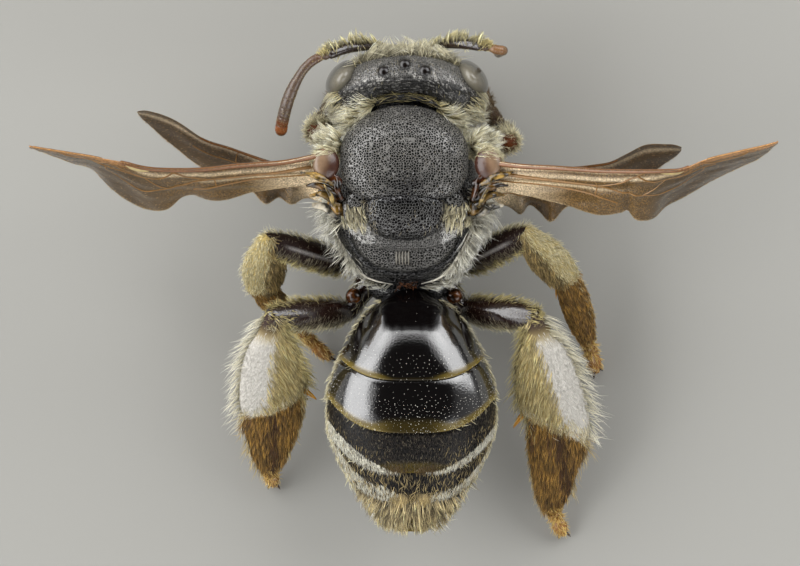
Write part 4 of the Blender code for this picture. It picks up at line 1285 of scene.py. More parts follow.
JOINT_SLANT = 0.62  # fall of the joint line for each millimetre outwards
WHITE_SLANT, WHITE_MIDDLE = 0.22, 0.55  # how the white patch of the hind shin leans, about which share of it
JOINT_RISE = 0.12  # how far the top of the brush below a hind shin is moved up, towards the shin
LEG_WIDTHS = {"front": FRONT_LEG, "middle": MIDDLE_LEG, "hind": HIND_LEG}
FOOT_JOINTS = (0.0, 0.2, 0.38, 0.55, 1.0)  # where the foot's four joints begin and end
BEAD_WIDTHS = [(0, 0.06, 0.05), (0.7, 0.12, 0.08), (1, 0.09, 0.06)]
LAST_JOINT_WIDTHS = [(0, 0.07, 0.06), (0.5, 0.125, 0.085), (1, 0.10, 0.06)]
CLAW_WIDTHS = [(0, 0.024, 0.024), (0.6, 0.018, 0.018), (1, 0.005, 0.005)]
SPUR_WIDTHS = [(0, 0.028, 0.028), (0.5, 0.02, 0.02), (1, 0.004, 0.004)]
PAD_SIZE = (0.06, 0.06, 0.075)


def flat_way_of(points):
    """The way a leg's lower half is broad, level with the floor."""
    return unit(np.cross(UP, np.subtract(points[3], points[2])))


def outward(flat_way, side):
    """The broad way of a leg, turned to point away from the body."""
    return flat_way if flat_way[0] * side > 0 else -flat_way


def leg_shade(joint, pair, skin, start, end, flat_way, side):
    """Bare lengths are red-black; the brushes' skin has the colour of the down on it."""
    leg, straw = colour("leg"), colour("straw")
    amber = linear("#6A3A1E")
    away = skin.points - start
    reach = away @ unit(end - start) / np.linalg.norm(end - start)
    across = away @ outward(flat_way, side)
    if joint == "femur" and pair == "middle":  # a painted highlight along the top, where a fine keel would catch the light
        keel = bump(skin.normals @ unit(np.cross(UP, end - start)), 0.05, 0.06) * (skin.normals[..., 2] > 0)
        keel = keel * smooth(0.15, 0.3, reach) * (1 - smooth(0.75, 0.9, reach))
        return blend(leg, linear("#C9C4C0"), keel[..., None])
    if joint == "femur" and pair == "front":
        return blend(leg, amber, smooth(0.7, 0.95, reach)[..., None])
    if joint in ("coxa", "femur"):
        return leg
    if pair == "front":
        knee = 1 - smooth(0.1, 0.4, reach) if joint == "tibia" else 0.2 + 0 * reach
        return blend(leg * 1.6, amber, knee[..., None])
    if joint == "basitarsus":
        return colour("foot") * 0.7
    if pair == "middle":
        return blend(straw * 0.3, straw, smooth(-0.12, 0.10, across)[..., None])
    outer = smooth(-0.14, 0.06, across - 0.03 + WHITE_SLANT * (WHITE_MIDDLE - reach))
    tint = blend(straw * 0.65, colour("snow"), (outer * smooth(0.08, 0.3, reach))[..., None])
    return blend(tint, leg * 2, (1 - smooth(0.04, 0.2, reach))[..., None])


def slanted(rings, start, end, flat_way, side, at_end):
    """The joint of the hind shin and the brush below it slants: it lies lower on the outer side."""
    along, length = unit(end - start), np.linalg.norm(end - start)
    reach = (rings - start) @ along / length
    share = smooth(0.45, 1.0, reach) if at_end else 1 - smooth(0.0, 0.5, reach)
    drop = (rings - start) @ outward(flat_way, side) * JOINT_SLANT - (0 if at_end else JOINT_RISE)
    return rings + along * drop[..., None] * share[..., None]


def build_legs():
    for label, points in LEGS.items():
        pair, side = label.split("_")[0], side_of(label)
        flat_way = flat_way_of(points)
        points = [np.array(point) for point in points]
        for joint, a, b in zip(JOINTS, points, points[1:]):
            thigh, brush = joint == "femur", joint == "basitarsus" or joint == "tibia" and pair != "front"
            arch = UP * (0.05 if thigh else 0.03) * np.linalg.norm(b - a)
            widths = np.array(LEG_WIDTHS[pair][joint])
            if joint == "tibia" and label == "middle_left":  # a little broader than the right one
                widths[:, 1] *= 1.15
            across = unit(np.cross(UP, b - a)) if thigh else flat_way
            rings = limb([a, (a + b) / 2 + arch, b], widths, across, 44, 28)
            if pair == "hind" and brush:
                rings = slanted(rings, a, b, flat_way, side, joint == "tibia")
            skin = SKINS[f"{joint}_{label}"] = Skin(rings)
            shell = "dull_leg" if pair == "middle" and thigh or pair == "front" else "leg"
            skin_piece(f"leg_{joint}_{label}", skin, "velvet" if brush else shell,
                       leg_shade(joint, pair, skin, a, b, flat_way, side), "brown_chitin", f"{joint}_{label}")
        build_foot(label, *points[4:], flat_way)
        build_spurs(label, *points[2:4], flat_way)


def build_foot(label, start, end, flat_way):
    """Three bead-like joints, the long last joint and its pair of claws, on the floor."""
    amber = colour("foot") * (0.3 if label.startswith("front") else 1.0)
    for i, (low, high) in enumerate(zip(FOOT_JOINTS, FOOT_JOINTS[1:])):
        line = [blend(start, end, low), blend(start, end, high)]
        widths = BEAD_WIDTHS if i < 3 else LAST_JOINT_WIDTHS
        skin = SKINS[f"foot_{i + 1}_{label}"] = Skin(limb(line, widths, flat_way, 14, 14))
        nodes = (f"tarsus_{label}",) if i == 0 else ()
        skin_piece(f"leg_foot_{i + 1}_{label}", skin, "horn", amber * (1 + 0.15 * i), "amber_chitin", *nodes)
    ahead = unit((end - start) * (1, 1, 0))
    for name, side in (("inner", 1), ("outer", -1)):
        out = flat_way * side
        line = [end + out * 0.03, end + ahead * 0.08 + out * 0.08 - UP * 0.04,
                end + ahead * 0.13 + out * 0.10 - UP * (end[2] - 0.02)]
        claw = Skin(limb(line, CLAW_WIDTHS, out, 14, 8))
        skin_piece(f"claw_{name}_{label}", claw, "horn", linear("#3A1D0C"), "amber_chitin")
    ball(f"foot_pad_{label}", end + ahead * 0.04 - UP * (end[2] - PAD_SIZE[2]), PAD_SIZE, "horn",
         "amber_chitin", around=16, levels=10, shade=amber * 1.3)


def build_spurs(label, knee, ankle, flat_way):
    """The movable spurs at the end of the shin, on its inner side: two on a hind leg, one on the others."""
    inward = -outward(flat_way, side_of(label))
    shin = unit(ankle - knee)
    count, reach, rise = (2, 0.50, JOINT_SLANT * 0.50) if label.startswith("hind") else (1, 0.14, 0.0)
    for i in range(count):
        base = ankle - shin * (0.10 + rise - 0.08 * i) + inward * reach - UP * 0.02
        tip = base + shin * (0.24 - 0.06 * i) + inward * 0.22
        spur = Skin(limb([base, (base + tip) / 2 + inward * 0.015, tip], SPUR_WIDTHS, UP, 16, 10))
        skin_piece(f"spur_{i + 1}_{label}", spur, "horn", linear("#C88E2A"), "amber_chitin")


# ------------------------------------------------------------------ coat
# root and tip shades of the hairs, by where they grow or what they look like; the darker roots are painted
# shade deep in the coat
CREAM = ("#8A7C4C", "#FFF7D4")
BRIGHT_CREAM = ("#AC9E6A", "#FFFAE0")
YELLOW = ("#665624", "#EBDC9C")
WHITE = ("#A5A194", "#FFFFFF")
BAND = ("#B6B09A", "#FFFDEE")
TAIL = ("#3C2E18", "#E8D4A0")
GOLD = ("#2A1C08", "#C89A48")
TAN = ("#3A2A12", "#E4CC90")
GREY = ("#3C3528", "#A89C80")
DARK = ("#0C0806", "#4A3C26")
DOTS = ("#B8B4AA", "#F0ECE2")
BROWN = ("#2E2010", "#6E5628")
IVORY = ("#8C846A", "#FFFDF0")
SPIKY = ("#4E4422", "#FFF7D6")
SCAPE_HAIR = ("#4A4020", "#FBEFB8")
SIDE_TUFT = ("#7C7048", "#F6EDCB")
RUST = ("#3A1A08", "#9A5A24")
NECK_ARC = ("#5A4E20", "#CFC084")
FOOT_HAIR = ("#A87C26", "#FFE08C")
SNOW_DOWN = ("#C4C0B8", "#F2EEE6")
STRAW_DOWN = ("#86702E", "#FFEDB4")
SHIN_FRINGE = ("#B8B090", "#FFFBEA")
SHIN_END = ("#A89C74", "#FFF8E0")
# dark hair down the middle of the hind brush: painted shade, as in its furrow
FURROW_SHADE = ("#1E1208", "#6E4A22")
MIDDLE_SHIN = ("#9C8C52", "#FFF3C8")
MIDDLE_SHIN_INNER = ("#3A2A12", "#D2B676")
WING_HAIR = ("#6E5430", "#CDB07A")


def way_of(x, y, z):
    """A way for each hair; parts that are the same for all may be single numbers."""
    return np.stack(np.broadcast_arrays(x, y, z), -1)


def coat_head():
    coat = Coat("coat_head", tiles=9, seed=11)
    head = SKINS["head"]

    def fringe(p, n):
        return (head_level(p) < -1.79) * (p[..., 2] > 2.2) * smooth(1.10, 0.90, np.abs(p[..., 0]))

    def face(p, n):
        return smooth(0.1, 0.5, -n[..., 1]) * (p[..., 2] < 2.45) * (np.abs(p[..., 0]) < 1.0)

    def cheek(p, n):
        x, y, z = np.moveaxis(p, -1, 0)
        return smooth(0.82, 1.05, np.abs(x)) * (y > -1.30) * (z < 2.5) * (0.6 + smooth(-1.1, -0.9, y))

    def nape(p, n):
        x = np.abs(p[..., 0])
        return (n[..., 1] > 0.45) * (n[..., 2] > 0.0) * (x < 0.95) * (x > 0.1)

    def crown(p, n):
        return smooth(0.5, 0.8, n[..., 2]) * (head_level(p) < -1.50)

    def fan(p, n):
        return way_of(p[..., 0] * 0.45, -1.0, 0.1)

    def scape_front(p, n):
        return 0.05 + np.clip(-n[..., 1] + n[..., 2] * 0.5, 0, 1) ** 2

    def cheek_way(p, n):
        return way_of(np.sign(p[..., 0]) * 0.8, 0.35 + (p[..., 1] + 1.2) * 1.2, -0.15)

    coat.add(head, 800, fringe, fan, 28, 0.27, 0.012, SPIKY, tuft=7, pull=0.8, spread=0.14, curl=0.06,
             droop=0.05, vary=0.9, clump=1.1)
    coat.add(head, 300, fringe, fan, 28, 0.46, 0.014, SPIKY, tuft=6, pull=0.85, spread=0.16, curl=0.05,
             droop=0.03, vary=0.5)
    coat.add(head, 1800, face, (0, -0.2, -1.0), 42, 0.20, 0.012, CREAM, tuft=6, vary=0.8)
    coat.add(head, 1300, cheek, cheek_way, 24, 0.30, 0.012, BRIGHT_CREAM, tuft=6, pull=0.75, spread=0.18,
             curl=0.06, vary=0.9, clump=1.1)
    coat.add(head, 26, nape, (0, 0.9, 0.1), 20, 0.09, 0.005, YELLOW)
    coat.add(head, 160, crown, (0, -1, 0.2), 25, 0.05, 0.006, GREY)
    for label, side in SIDES:
        coat.next_tile()
        way = (side * 0.45, -0.95, 0.25)
        coat.add(SKINS[f"scape_{label}"], 330, scape_front, way, 40, 0.20, 0.012, SCAPE_HAIR, tuft=5,
                 pull=0.8, spread=0.18, curl=0.06, vary=0.9, clump=1.1)
        coat.next_tile()
        coat.add(SKINS[f"pedicel_{label}"], 170, lambda p, n: 0.1 + np.clip(-n[..., 1] + n[..., 2], 0, 1),
                 way, 42, 0.10, 0.010, YELLOW)
    coat.make()


def coat_antennae():
    coat = Coat("coat_feelers", tiles=4, seed=12, rings=2)
    for label, line in FLAGELLA.items():
        way = unit(np.subtract(line[-1], line[1]))
        coat.add(SKINS[f"flagellum_{label}"], 1300, everywhere, way, 22, 0.022, 0.005, TAN)
        coat.next_tile()
    coat.make()


def box_of_hair(low, high):
    """Hair between two values of |x| and of Y, on skin that is not turned down."""
    def where(p, n):
        x, y = np.abs(p[..., 0]), p[..., 1]
        return (x > low[0]) * (x < high[0]) * (y > low[1]) * (y < high[1]) * (n[..., 2] > -0.1)
    return where


def coat_thorax():
    coat = Coat("coat_thorax", tiles=16, seed=21)
    trunk = SKINS["trunk"]

    def flank(p, n):
        keels = np.array(CARINAE["left"])
        beyond = np.abs(p[..., 0] - 0.04) > np.interp(p[..., 1], keels[:, 1], keels[:, 0])
        thin = 1 - 0.8 * smooth(1.6, 1.9, p[..., 1])
        return (n[..., 2] < 0.6) * (n[..., 2] > -0.75) * (p[..., 1] > 0.30) * beyond * thin

    def shoulder(p, n):
        x, y, z = np.moveaxis(p, -1, 0)
        return smooth(0.70, 0.84, np.abs(x)) * (y < -0.10) * (z > 1.75) * (0.6 + (z > 2.1))

    def under_wing(p, n):
        x, y = np.abs(p[..., 0] - 0.04), p[..., 1]
        return (x > 1.02) * (y > 0.35) * (y < 1.0) * (n[..., 2] > -0.2) * (n[..., 2] < 0.9)

    def waist_ring(p, n):
        return (p[..., 1] > 1.93) * (np.abs(p[..., 0]) < 0.16) * (n[..., 2] > -0.3)

    def fan(p, n):
        return way_of(np.sign(p[..., 0]), 0.15 + 0.8 * np.clip(p[..., 1] - 0.5, 0, 1.4), 0.15)

    def shoulder_way(p, n):
        return way_of(np.sign(p[..., 0]), -0.35, 0.35)

    def arc(p, n):
        turned = np.sign(np.sin(p[..., 0] * 57 + p[..., 2] * 91) + p[..., 0] * 1.4)
        return way_of(turned, turned * p[..., 0] * 0.5, 0.15)

    def inward(p, n):
        return way_of(-np.sign(p[..., 0]) * 0.35, 1.0, 0.25)

    coat.add(trunk, 2500, shoulder, shoulder_way, 30, 0.40, 0.013, BRIGHT_CREAM, tuft=7, pull=0.8,
             spread=0.18, curl=0.06, vary=0.8, clump=1.1)
    coat.add(trunk, 1700, flank, fan, 28, 0.31, 0.012, IVORY, tuft=6, pull=0.8, spread=0.16, curl=0.06,
             vary=0.7, clump=1.1)
    coat.add(trunk, 700, under_wing, fan, 30, 0.44, 0.012, IVORY, tuft=6, pull=0.7, spread=0.16, curl=0.06,
             vary=0.6, clump=0.8)
    coat.add(trunk, 26, waist_ring, (0, 1, 0.3), 30, 0.11, 0.009, RUST)
    coat.add(trunk, 800, below, (0, 1, -0.2), 40, 0.18, 0.012, CREAM, tuft=6)
    coat.add(trunk, 420, box_of_hair((0.74, 0.56), (1.08, 0.98)), inward, 40, 0.17, 0.012, SIDE_TUFT, tuft=5,
             vary=0.9, clump=0.9)
    coat.next_tile()
    ridge, collar = SKINS["metanotum"], SKINS["collar"]
    coat.add(ridge, 330, box_of_hair((0.62, 0.60), (1.02, 1.00)), inward, 34, 0.20, 0.012, SIDE_TUFT, tuft=5,
             vary=0.9, clump=0.9)
    coat.add(ridge, 420, box_of_hair((0.58, 0.95), (1.02, 1.35)), (0, 0.4, 1), 30, 0.08, 0.010, WHITE,
             vary=0.6)
    coat.next_tile()
    coat.add(SKINS["scutum"], 260, everywhere, (0, 1, 0), 35, 0.035, 0.006, GREY)
    coat.next_tile()
    coat.add(SKINS["scutellum"], 160, lambda p, n: 0.3 + smooth(0.45, 0.6, np.abs(p[..., 0])) * 3,
             (0, 1, 0.3), 40, 0.09, 0.009, GREY)
    coat.next_tile()
    coat.add(collar, 240, everywhere, arc, 9, 0.20, 0.006, NECK_ARC, spread=0.22, curl=0.10, vary=0.8)
    coat.add(collar, 1100, lambda p, n: smooth(0.46, 0.66, np.abs(p[..., 0])), shoulder_way, 34, 0.36, 0.011,
             BRIGHT_CREAM, tuft=6, pull=0.7, spread=0.2, curl=0.08, vary=0.8, clump=0.9)
    for label, _ in SIDES:
        coat.next_tile()
        coat.add(SKINS[f"keel_{label}"], 360, lambda p, n: 1 - 0.85 * smooth(1.6, 1.9, p[..., 1]), fan, 14,
                 lambda p: 0.36 - 0.22 * smooth(1.5, 1.9, p[..., 1]), 0.011, IVORY, tuft=4, pull=0.7,
                 spread=0.14, curl=0.06, vary=0.6, clump=0.7)
    coat.make()


def coat_lobes():
    """The dense matted hair before each wing cap, on the cap's front and on the lobe."""
    coat = Coat("coat_lobes", tiles=4, seed=25)
    for _, side in SIDES:
        spot, size = PRONOTAL_LOBE
        skin = Skin(ball_rings(sideways(spot, side), size))
        coat.add(skin, 800, lambda p, n: smooth(-0.5, 0.2, n[..., 2] + n[..., 0] * side),
                 (side, -0.35, 0.2), 26, 0.28, 0.013, BRIGHT_CREAM, tuft=6, pull=0.8, spread=0.2, curl=0.06,
                 vary=0.8, clump=1.1)
        coat.next_tile()
        skin = Skin(ball_rings(sideways(TEGULA_CENTRE, side), TEGULA_SIZE))
        coat.add(skin, 420, lambda p, n: smooth(0.1, 0.7, -n[..., 1] + 0.2 * n[..., 0] * side),
                 (side * 0.7, 0.2, 0.2), 20, 0.13, 0.009, CREAM, tuft=3, vary=0.8)
        coat.next_tile()
    coat.make()


def ball_rings(centre, size, rows=24, columns=32):
    """Rings of a stretched ball, for hair to root on."""
    a = np.linspace(0.1, np.pi - 0.1, rows)[:, None]
    t = np.linspace(0, 2 * np.pi, columns, endpoint=False)[None, :]
    shape = np.stack([np.sin(a) * np.cos(t), np.sin(a) * np.sin(t), np.cos(a) + 0 * t], -1)
    return centre + shape * np.asarray(size)


LIP_BARE = 0.012  # a ring's very edge is bare
SIDE_HAIRS = (200, 300, 300, 280, 200)  # on each side of the first five rings


def outside(p, n):
    """1 on the outer face of an abdomen ring, 0 on the fold under its lip."""
    away = p - np.array((ABDOMEN_SHIFT, 0, ABDOMEN_WIDEST))
    return away[..., 0] * n[..., 0] + away[..., 2] * n[..., 2] > 0


def coat_abdomen():
    coat = Coat("coat_abdomen", tiles=16, seed=31, rings=2)
    long_coat = Coat("coat_abdomen_long", tiles=16, seed=32)

    def from_middle(p):
        return np.abs(p[..., 0] - ABDOMEN_SHIFT)

    def over(p, n):
        return (n[..., 2] > 0.1) * outside(p, n)

    def tail_top(p, n):
        return over(p, n) * (1 - 0.9 * smooth(0.62, 0.92, from_middle(p)))

    def side(p, n):
        return (n[..., 2] < 0.22) * (n[..., 2] > -0.5) * (p[..., 1] > 2.2) * outside(p, n)

    def underside(p, n):
        return (n[..., 2] < -0.4) * outside(p, n)

    def behind(p, index):
        return RING_ENDS[index] - (p[..., 1] + RING_BOWS[index] * from_middle(p) ** BOW_POWER)

    def rear_part(index, low, high):
        return lambda p, n: over(p, n) * (1 - smooth(low, high, behind(p, index)))

    def hind_edge(index, width, inner, outer=9.0):
        def where(p, n):
            x, back = from_middle(p), behind(p, index)
            across = smooth(inner, inner + 0.25, x) * (1 - smooth(outer, outer + 0.2, x))
            return (back < width) * (back > LIP_BARE) * (n[..., 2] > -0.25) * outside(p, n) * across
        return where

    def band(index, width, start, full):
        """A crescent of hair along a ring's hind edge, from a point near the middle; wider on the left."""
        def where(p, n):
            x, back = from_middle(p), behind(p, index)
            wide = width * (0.15 + 0.85 * smooth(start, full, x)) * (1 - 0.4 * (p[..., 0] < 0))
            return (back < wide) * (back > LIP_BARE) * (x > start) * (n[..., 2] > -0.35) * outside(p, n)
        return where

    back = (0, 1, 0.05)
    rings = [SKINS[f"ring_{i}"] for i in range(1, 7)]
    one, two, three, four, five, six = rings
    coat.add(one, 900, rear_part(0, 0.25, 0.5), back, 86, 0.016, 0.020, DOTS, vary=0.8, apart=0.06)
    coat.add(one, 40, over, back, 86, 0.016, 0.018, DOTS, apart=0.12)
    coat.next_tile()
    coat.add(two, 900, over, back, 86, 0.016, 0.017, DOTS, vary=0.8, apart=0.075)
    coat.add(two, 2400, rear_part(1, 0.30, 0.60), back, 86, 0.016, 0.019, DOTS, vary=0.8, apart=0.045)
    coat.add(two, 260, hind_edge(1, 0.10, 0.5), back, 20, 0.06, 0.008, YELLOW)
    coat.next_tile()
    coat.add(three, 2600, over, back, 14, 0.06, 0.007, DARK, droop=0.05, vary=1.2)
    coat.add(three, 800, over, back, 14, 0.05, 0.006, GREY, droop=0.05, vary=1.2)
    coat.add(three, 300, hind_edge(2, 0.40, 0.36), back, 14, 0.08, 0.008, TAN, droop=0.05, vary=1.0)
    coat.add(three, 3200, band(2, 0.23, 0.16, 1.10), back, 9, 0.085, 0.011, BAND, droop=0, spread=0.10,
             vary=0.5)
    coat.add(three, 300, hind_edge(2, 0.14, 0.0, 0.30), back, 12, 0.08, 0.009, BROWN, droop=0.05)
    coat.next_tile()
    coat.add(four, 1100, over, back, 14, 0.07, 0.007, DARK, droop=0.05, vary=1.2)
    coat.add(four, 800, over, back, 16, 0.11, 0.009, TAN, droop=0.05, vary=1.2)
    coat.add(four, 3200, band(3, 0.24, 0.02, 0.45), back, 9, 0.10, 0.011, BAND, droop=0, spread=0.10,
             vary=0.5)
    coat.next_tile()
    coat.make()

    for ring, count in zip(rings, SIDE_HAIRS):
        long_coat.add(ring, count, side, fan_back, 34, 0.12, 0.012, CREAM, tuft=3, spread=0.15, vary=0.6)
        long_coat.add(ring, 330, underside, back, 30, 0.12, 0.011, CREAM)
        long_coat.next_tile()
    long_coat.add(four, 380, hind_edge(3, 0.14, 0.0, 0.16), back, 16, 0.18, 0.013, TAN, tuft=6)
    long_coat.next_tile()
    long_coat.add(five, 1300, tail_top, fan_tail, 12, 0.28, 0.014, TAIL, droop=0.05, tuft=5, pull=0.5,
                  spread=0.06, vary=1.4, clump=0.8)
    long_coat.add(five, 520, hind_edge(4, 0.30, 0.30, 0.8), fan_tail, 14, 0.30, 0.014, IVORY, tuft=4,
                  pull=0.6, spread=0.08, vary=0.8, clump=0.8)
    long_coat.next_tile()
    long_coat.add(five, 500, lambda p, n: (n[..., 2] < 0.1) * outside(p, n), fan_tail, 20, 0.22, 0.012, CREAM,
                  tuft=4, spread=0.12, vary=0.8)
    long_coat.add(six, 420, lambda p, n: 0.15 + np.abs(p[..., 0] - ABDOMEN_SHIFT) * 4, fan_tail, 16, 0.15,
                  0.012, CREAM, tuft=5)
    long_coat.make()


def fan_back(p, n):
    """Backwards and outwards, for the sides of the abdomen."""
    return way_of(np.sign(p[..., 0] - ABDOMEN_SHIFT) * 0.8, 1.0, 0.0)


def fan_tail(p, n):
    """Backwards, spreading with the distance from the middle, for the last rings."""
    return way_of((p[..., 0] - ABDOMEN_SHIFT) * 0.9, 1.0, 0.0)


def coat_legs():
    for label, points in LEGS.items():
        side = side_of(label)
        coat = Coat(f"coat_leg_{label}", tiles=9, seed=41 + len(label) + side)
        down = Coat(f"coat_down_{label}", tiles=9, seed=81 + len(label) + side, rings=2)
        ways = [unit(np.subtract(b, a)) for a, b in zip(points, points[1:])]
        skins = [SKINS[f"{joint}_{label}"] for joint in JOINTS]
        out = outward(flat_way_of(points), side)
        if label.startswith("hind"):
            hind_leg_hair(coat, down, skins, ways, out, points)
        elif label.startswith("middle"):
            middle_leg_hair(coat, down, skins, ways, out, points[2])
        else:
            front_leg_hair(coat, down, skins, ways)
        for i in range(4):
            coat.next_tile()
            tone = BROWN if label.startswith("front") else FOOT_HAIR
            foot = SKINS[f"foot_{i + 1}_{label}"]
            coat.add(foot, 150, everywhere, lambda p, n: n * 0.6 + ways[4], 46, 0.09, 0.010, tone, vary=0.7)
        coat.make()
        down.make()


def facing(way, low=0.1, high=0.6):
    """More hair where the skin faces a way."""
    way = unit(np.asarray(way, float))
    return lambda p, n: smooth(low, high, n @ way)


def upper_edge(way):
    """Hair along the edge of a leg that faces a way, seen from above, and none on its top."""
    way = unit(np.asarray(way, float))
    return lambda p, n: smooth(0.55, 0.9, n @ way) * (n[..., 2] > -0.7)


def bare_femur(coat, femur, way, front, rear):
    """A polished length with rows of very short hairs, fringed in front and behind."""
    coat.add(femur, 900, lambda p, n: (n[..., 2] > -0.3) * (0.02 + np.clip(n[..., 1] - 0.1, 0, 1)),
             way * 0.4 + (0, 1, 0), 16, 0.08, 0.007, GREY, spread=0.12, vary=1.0)
    coat.add(femur, 90, lambda p, n: n[..., 2] > 0.2, way, 20, 0.04, 0.006, GREY)
    coat.add(femur, 230, upper_edge((0, -1, 0.0)), way * 0.7 + (0, -0.8, 0.1), 40, 0.16, 0.011,
             front, spread=0.15, vary=0.8)
    coat.add(femur, 260, upper_edge((0, 1, -0.1)), way * 0.5 + (0, 0.8, 0), 40, 0.15, 0.011,
             rear, spread=0.15, vary=0.8)
    coat.add(femur, 380, below, way, 35, 0.11, 0.011, CREAM)


def hind_leg_hair(coat, down, skins, ways, out, points):
    coxa, femur, tibia, basitarsus = skins
    knee, ankle = np.array(points[2]), np.array(points[3])
    shin = np.linalg.norm(ankle - knee)

    def reach(p):
        return (p - knee) @ ways[2] / shin

    def across(p):
        return (p - knee) @ out + WHITE_SLANT * (WHITE_MIDDLE - reach(p))

    def outer(p, n):
        return smooth(-0.10, 0.12, across(p)) * smooth(0.08, 0.3, reach(p))

    def inner(p, n):
        return 1 - smooth(-0.06, 0.16, across(p))

    def at_joint(p, n):
        return smooth(0.80, 0.98, reach(p) - 0.25 * (p - knee) @ out) * (n[..., 2] > -0.2)

    # painted shade: dark hair down the middle of the hind brush, as in the shade of its furrow
    def furrow_shade(p, n):
        return bump((p - ankle) @ out, 0.0, 0.10)

    coat.add(coxa, 300, everywhere, ways[0], 40, 0.13, 0.011, CREAM)
    coat.next_tile()
    bare_femur(coat, femur, ways[1], YELLOW, CREAM)
    coat.add(femur, 160, lambda p, n: smooth(0.8, 0.95, (p - points[1]) @ ways[1] / 1.6), ways[1], 34, 0.12,
             0.012, YELLOW, tuft=3)
    coat.next_tile()
    down.add(tibia, 4200, outer, ways[2] + out * 0.25, 6, 0.11, 0.012, SNOW_DOWN, droop=0, spread=0.06,
             curl=0.05, vary=0.10)
    down.add(tibia, 3400, inner, ways[2] - out * 0.45, 8, 0.20, 0.011, STRAW_DOWN, droop=0, spread=0.06,
             curl=0.05, tuft=5, pull=0.5, vary=1.0, clump=0.6)
    down.next_tile()
    coat.add(tibia, 230, facing(out, 0.6, 0.95), ways[2] * 0.6 + out, 36, 0.38, 0.012, SHIN_FRINGE,
             spread=0.12, curl=0.06)
    coat.add(tibia, 260, facing(-out, 0.5, 0.9), ways[2] * 0.8 - out, 34, 0.28, 0.012, YELLOW,
             spread=0.14, curl=0.08, vary=0.8)
    coat.add(tibia, 700, at_joint, ways[2], 9, 0.30, 0.016, SHIN_END, tuft=5, vary=0.6)
    coat.next_tile()
    down.add(basitarsus, 1300, furrow_shade, ways[3], 10, 0.16, 0.011, FURROW_SHADE, droop=0.05, spread=0.12, vary=1.2)
    down.add(basitarsus, 3500, lambda p, n: 1 - 0.85 * furrow_shade(p, n), ways[3], 14, 0.19, 0.011, GOLD,
             droop=0.05, spread=0.10, tuft=5, pull=0.5, curl=0.08, vary=1.4, clump=0.8)
    coat.add(basitarsus, 130, facing(out, 0.6, 0.95), ways[3] + out * 0.6, 34, 0.26, 0.013, TAN)
    coat.add(basitarsus, 160, facing(-out, 0.5, 0.9), ways[3] - out * 0.4, 30, 0.16, 0.012, TAN, tuft=2)


def middle_leg_hair(coat, down, skins, ways, out, knee):
    coxa, femur, tibia, basitarsus = skins
    coat.add(coxa, 300, everywhere, ways[0], 40, 0.13, 0.011, CREAM)
    coat.next_tile()
    bare_femur(coat, femur, ways[1], CREAM, YELLOW)
    coat.next_tile()
    knee = np.array(knee)
    down.add(tibia, 4000, lambda p, n: smooth(-0.16, 0.06, (p - knee) @ out), ways[2], 18, 0.10, 0.011,
             MIDDLE_SHIN, spread=0.12, tuft=3, pull=0.4, vary=0.7, clump=0.35)
    down.add(tibia, 1500, lambda p, n: 1 - smooth(-0.18, 0.02, (p - knee) @ out), ways[2] - out * 0.4, 26,
             0.14, 0.011, MIDDLE_SHIN_INNER, spread=0.14, tuft=5, pull=0.6, vary=1.2, clump=1.0)
    coat.add(tibia, 120, facing(out), ways[2] + out * 0.6, 34, 0.15, 0.012, CREAM)
    down.next_tile()
    coat.next_tile()
    down.add(basitarsus, 3200, everywhere, ways[3], 20, 0.13, 0.011, GOLD, spread=0.12, tuft=5, pull=0.5,
             vary=1.3, clump=0.8)
    coat.add(basitarsus, 90, facing(out), ways[3] + out * 0.4, 30, 0.13, 0.012, TAN)


def front_leg_hair(coat, down, skins, ways):
    coxa, femur, tibia, basitarsus = skins
    coat.add(coxa, 260, everywhere, ways[0], 40, 0.13, 0.011, CREAM)
    coat.next_tile()
    coat.add(femur, 620, lambda p, n: 0.10 + smooth(1.5, 1.8, p[..., 2]) * (n[..., 2] < 0.75),
             lambda p, n: n + ways[1] * 0.3, 50, 0.13, 0.010, CREAM, spread=0.12, vary=0.7)
    coat.next_tile()
    coat.add(tibia, 760, lambda p, n: 0.06 + smooth(1.4, 1.8, p[..., 2]) * (n[..., 2] < 0.75),
             lambda p, n: n + ways[2] * 0.4, 46, 0.13, 0.010, CREAM, spread=0.12, vary=0.7)
    down.add(tibia, 500, lambda p, n: p[..., 2] < 1.6, ways[2], 25, 0.08, 0.010, BROWN)
    coat.next_tile()
    down.next_tile()
    down.add(basitarsus, 900, everywhere, ways[3], 25, 0.09, 0.011, BROWN, vary=1.0)


def coat_wings():
    coat = Coat("coat_wings", tiles=4, seed=61, rings=2)
    for name in WINGS:
        out = (side_of(name), 0.35, -0.2)
        columns = SKINS[name].points.shape[1]

        def hem(p, n, columns=columns):
            spot = np.zeros(p.shape[:-1])
            spot[:, columns // 2 - 3 : columns // 2 + 2] = 1
            return spot

        coat.add(SKINS[name], 700, hem, out, 25, 0.04, 0.006, WING_HAIR)
        coat.add(SKINS[name], 1800, everywhere, out, 16, 0.03, 0.006, WING_HAIR, vary=1.0)
        coat.next_tile()
    coat.make()


# ----------------------------------------------------------------- stage
LAMP_REACH, LAMP_SIZE = 260, 220
LAMPS = (("left", 50, 0, 0.10), ("right", 50, 218, 0.07))  # name, lean and turn in degrees, watts
LAMP_TARGET = (0, 1.9, 2.0)
LENS, FILM = 600, 36  # so long a lens that the bee shows almost without perspective
VIEW_CENTRE = (0.1155, 1.947, 2.4)


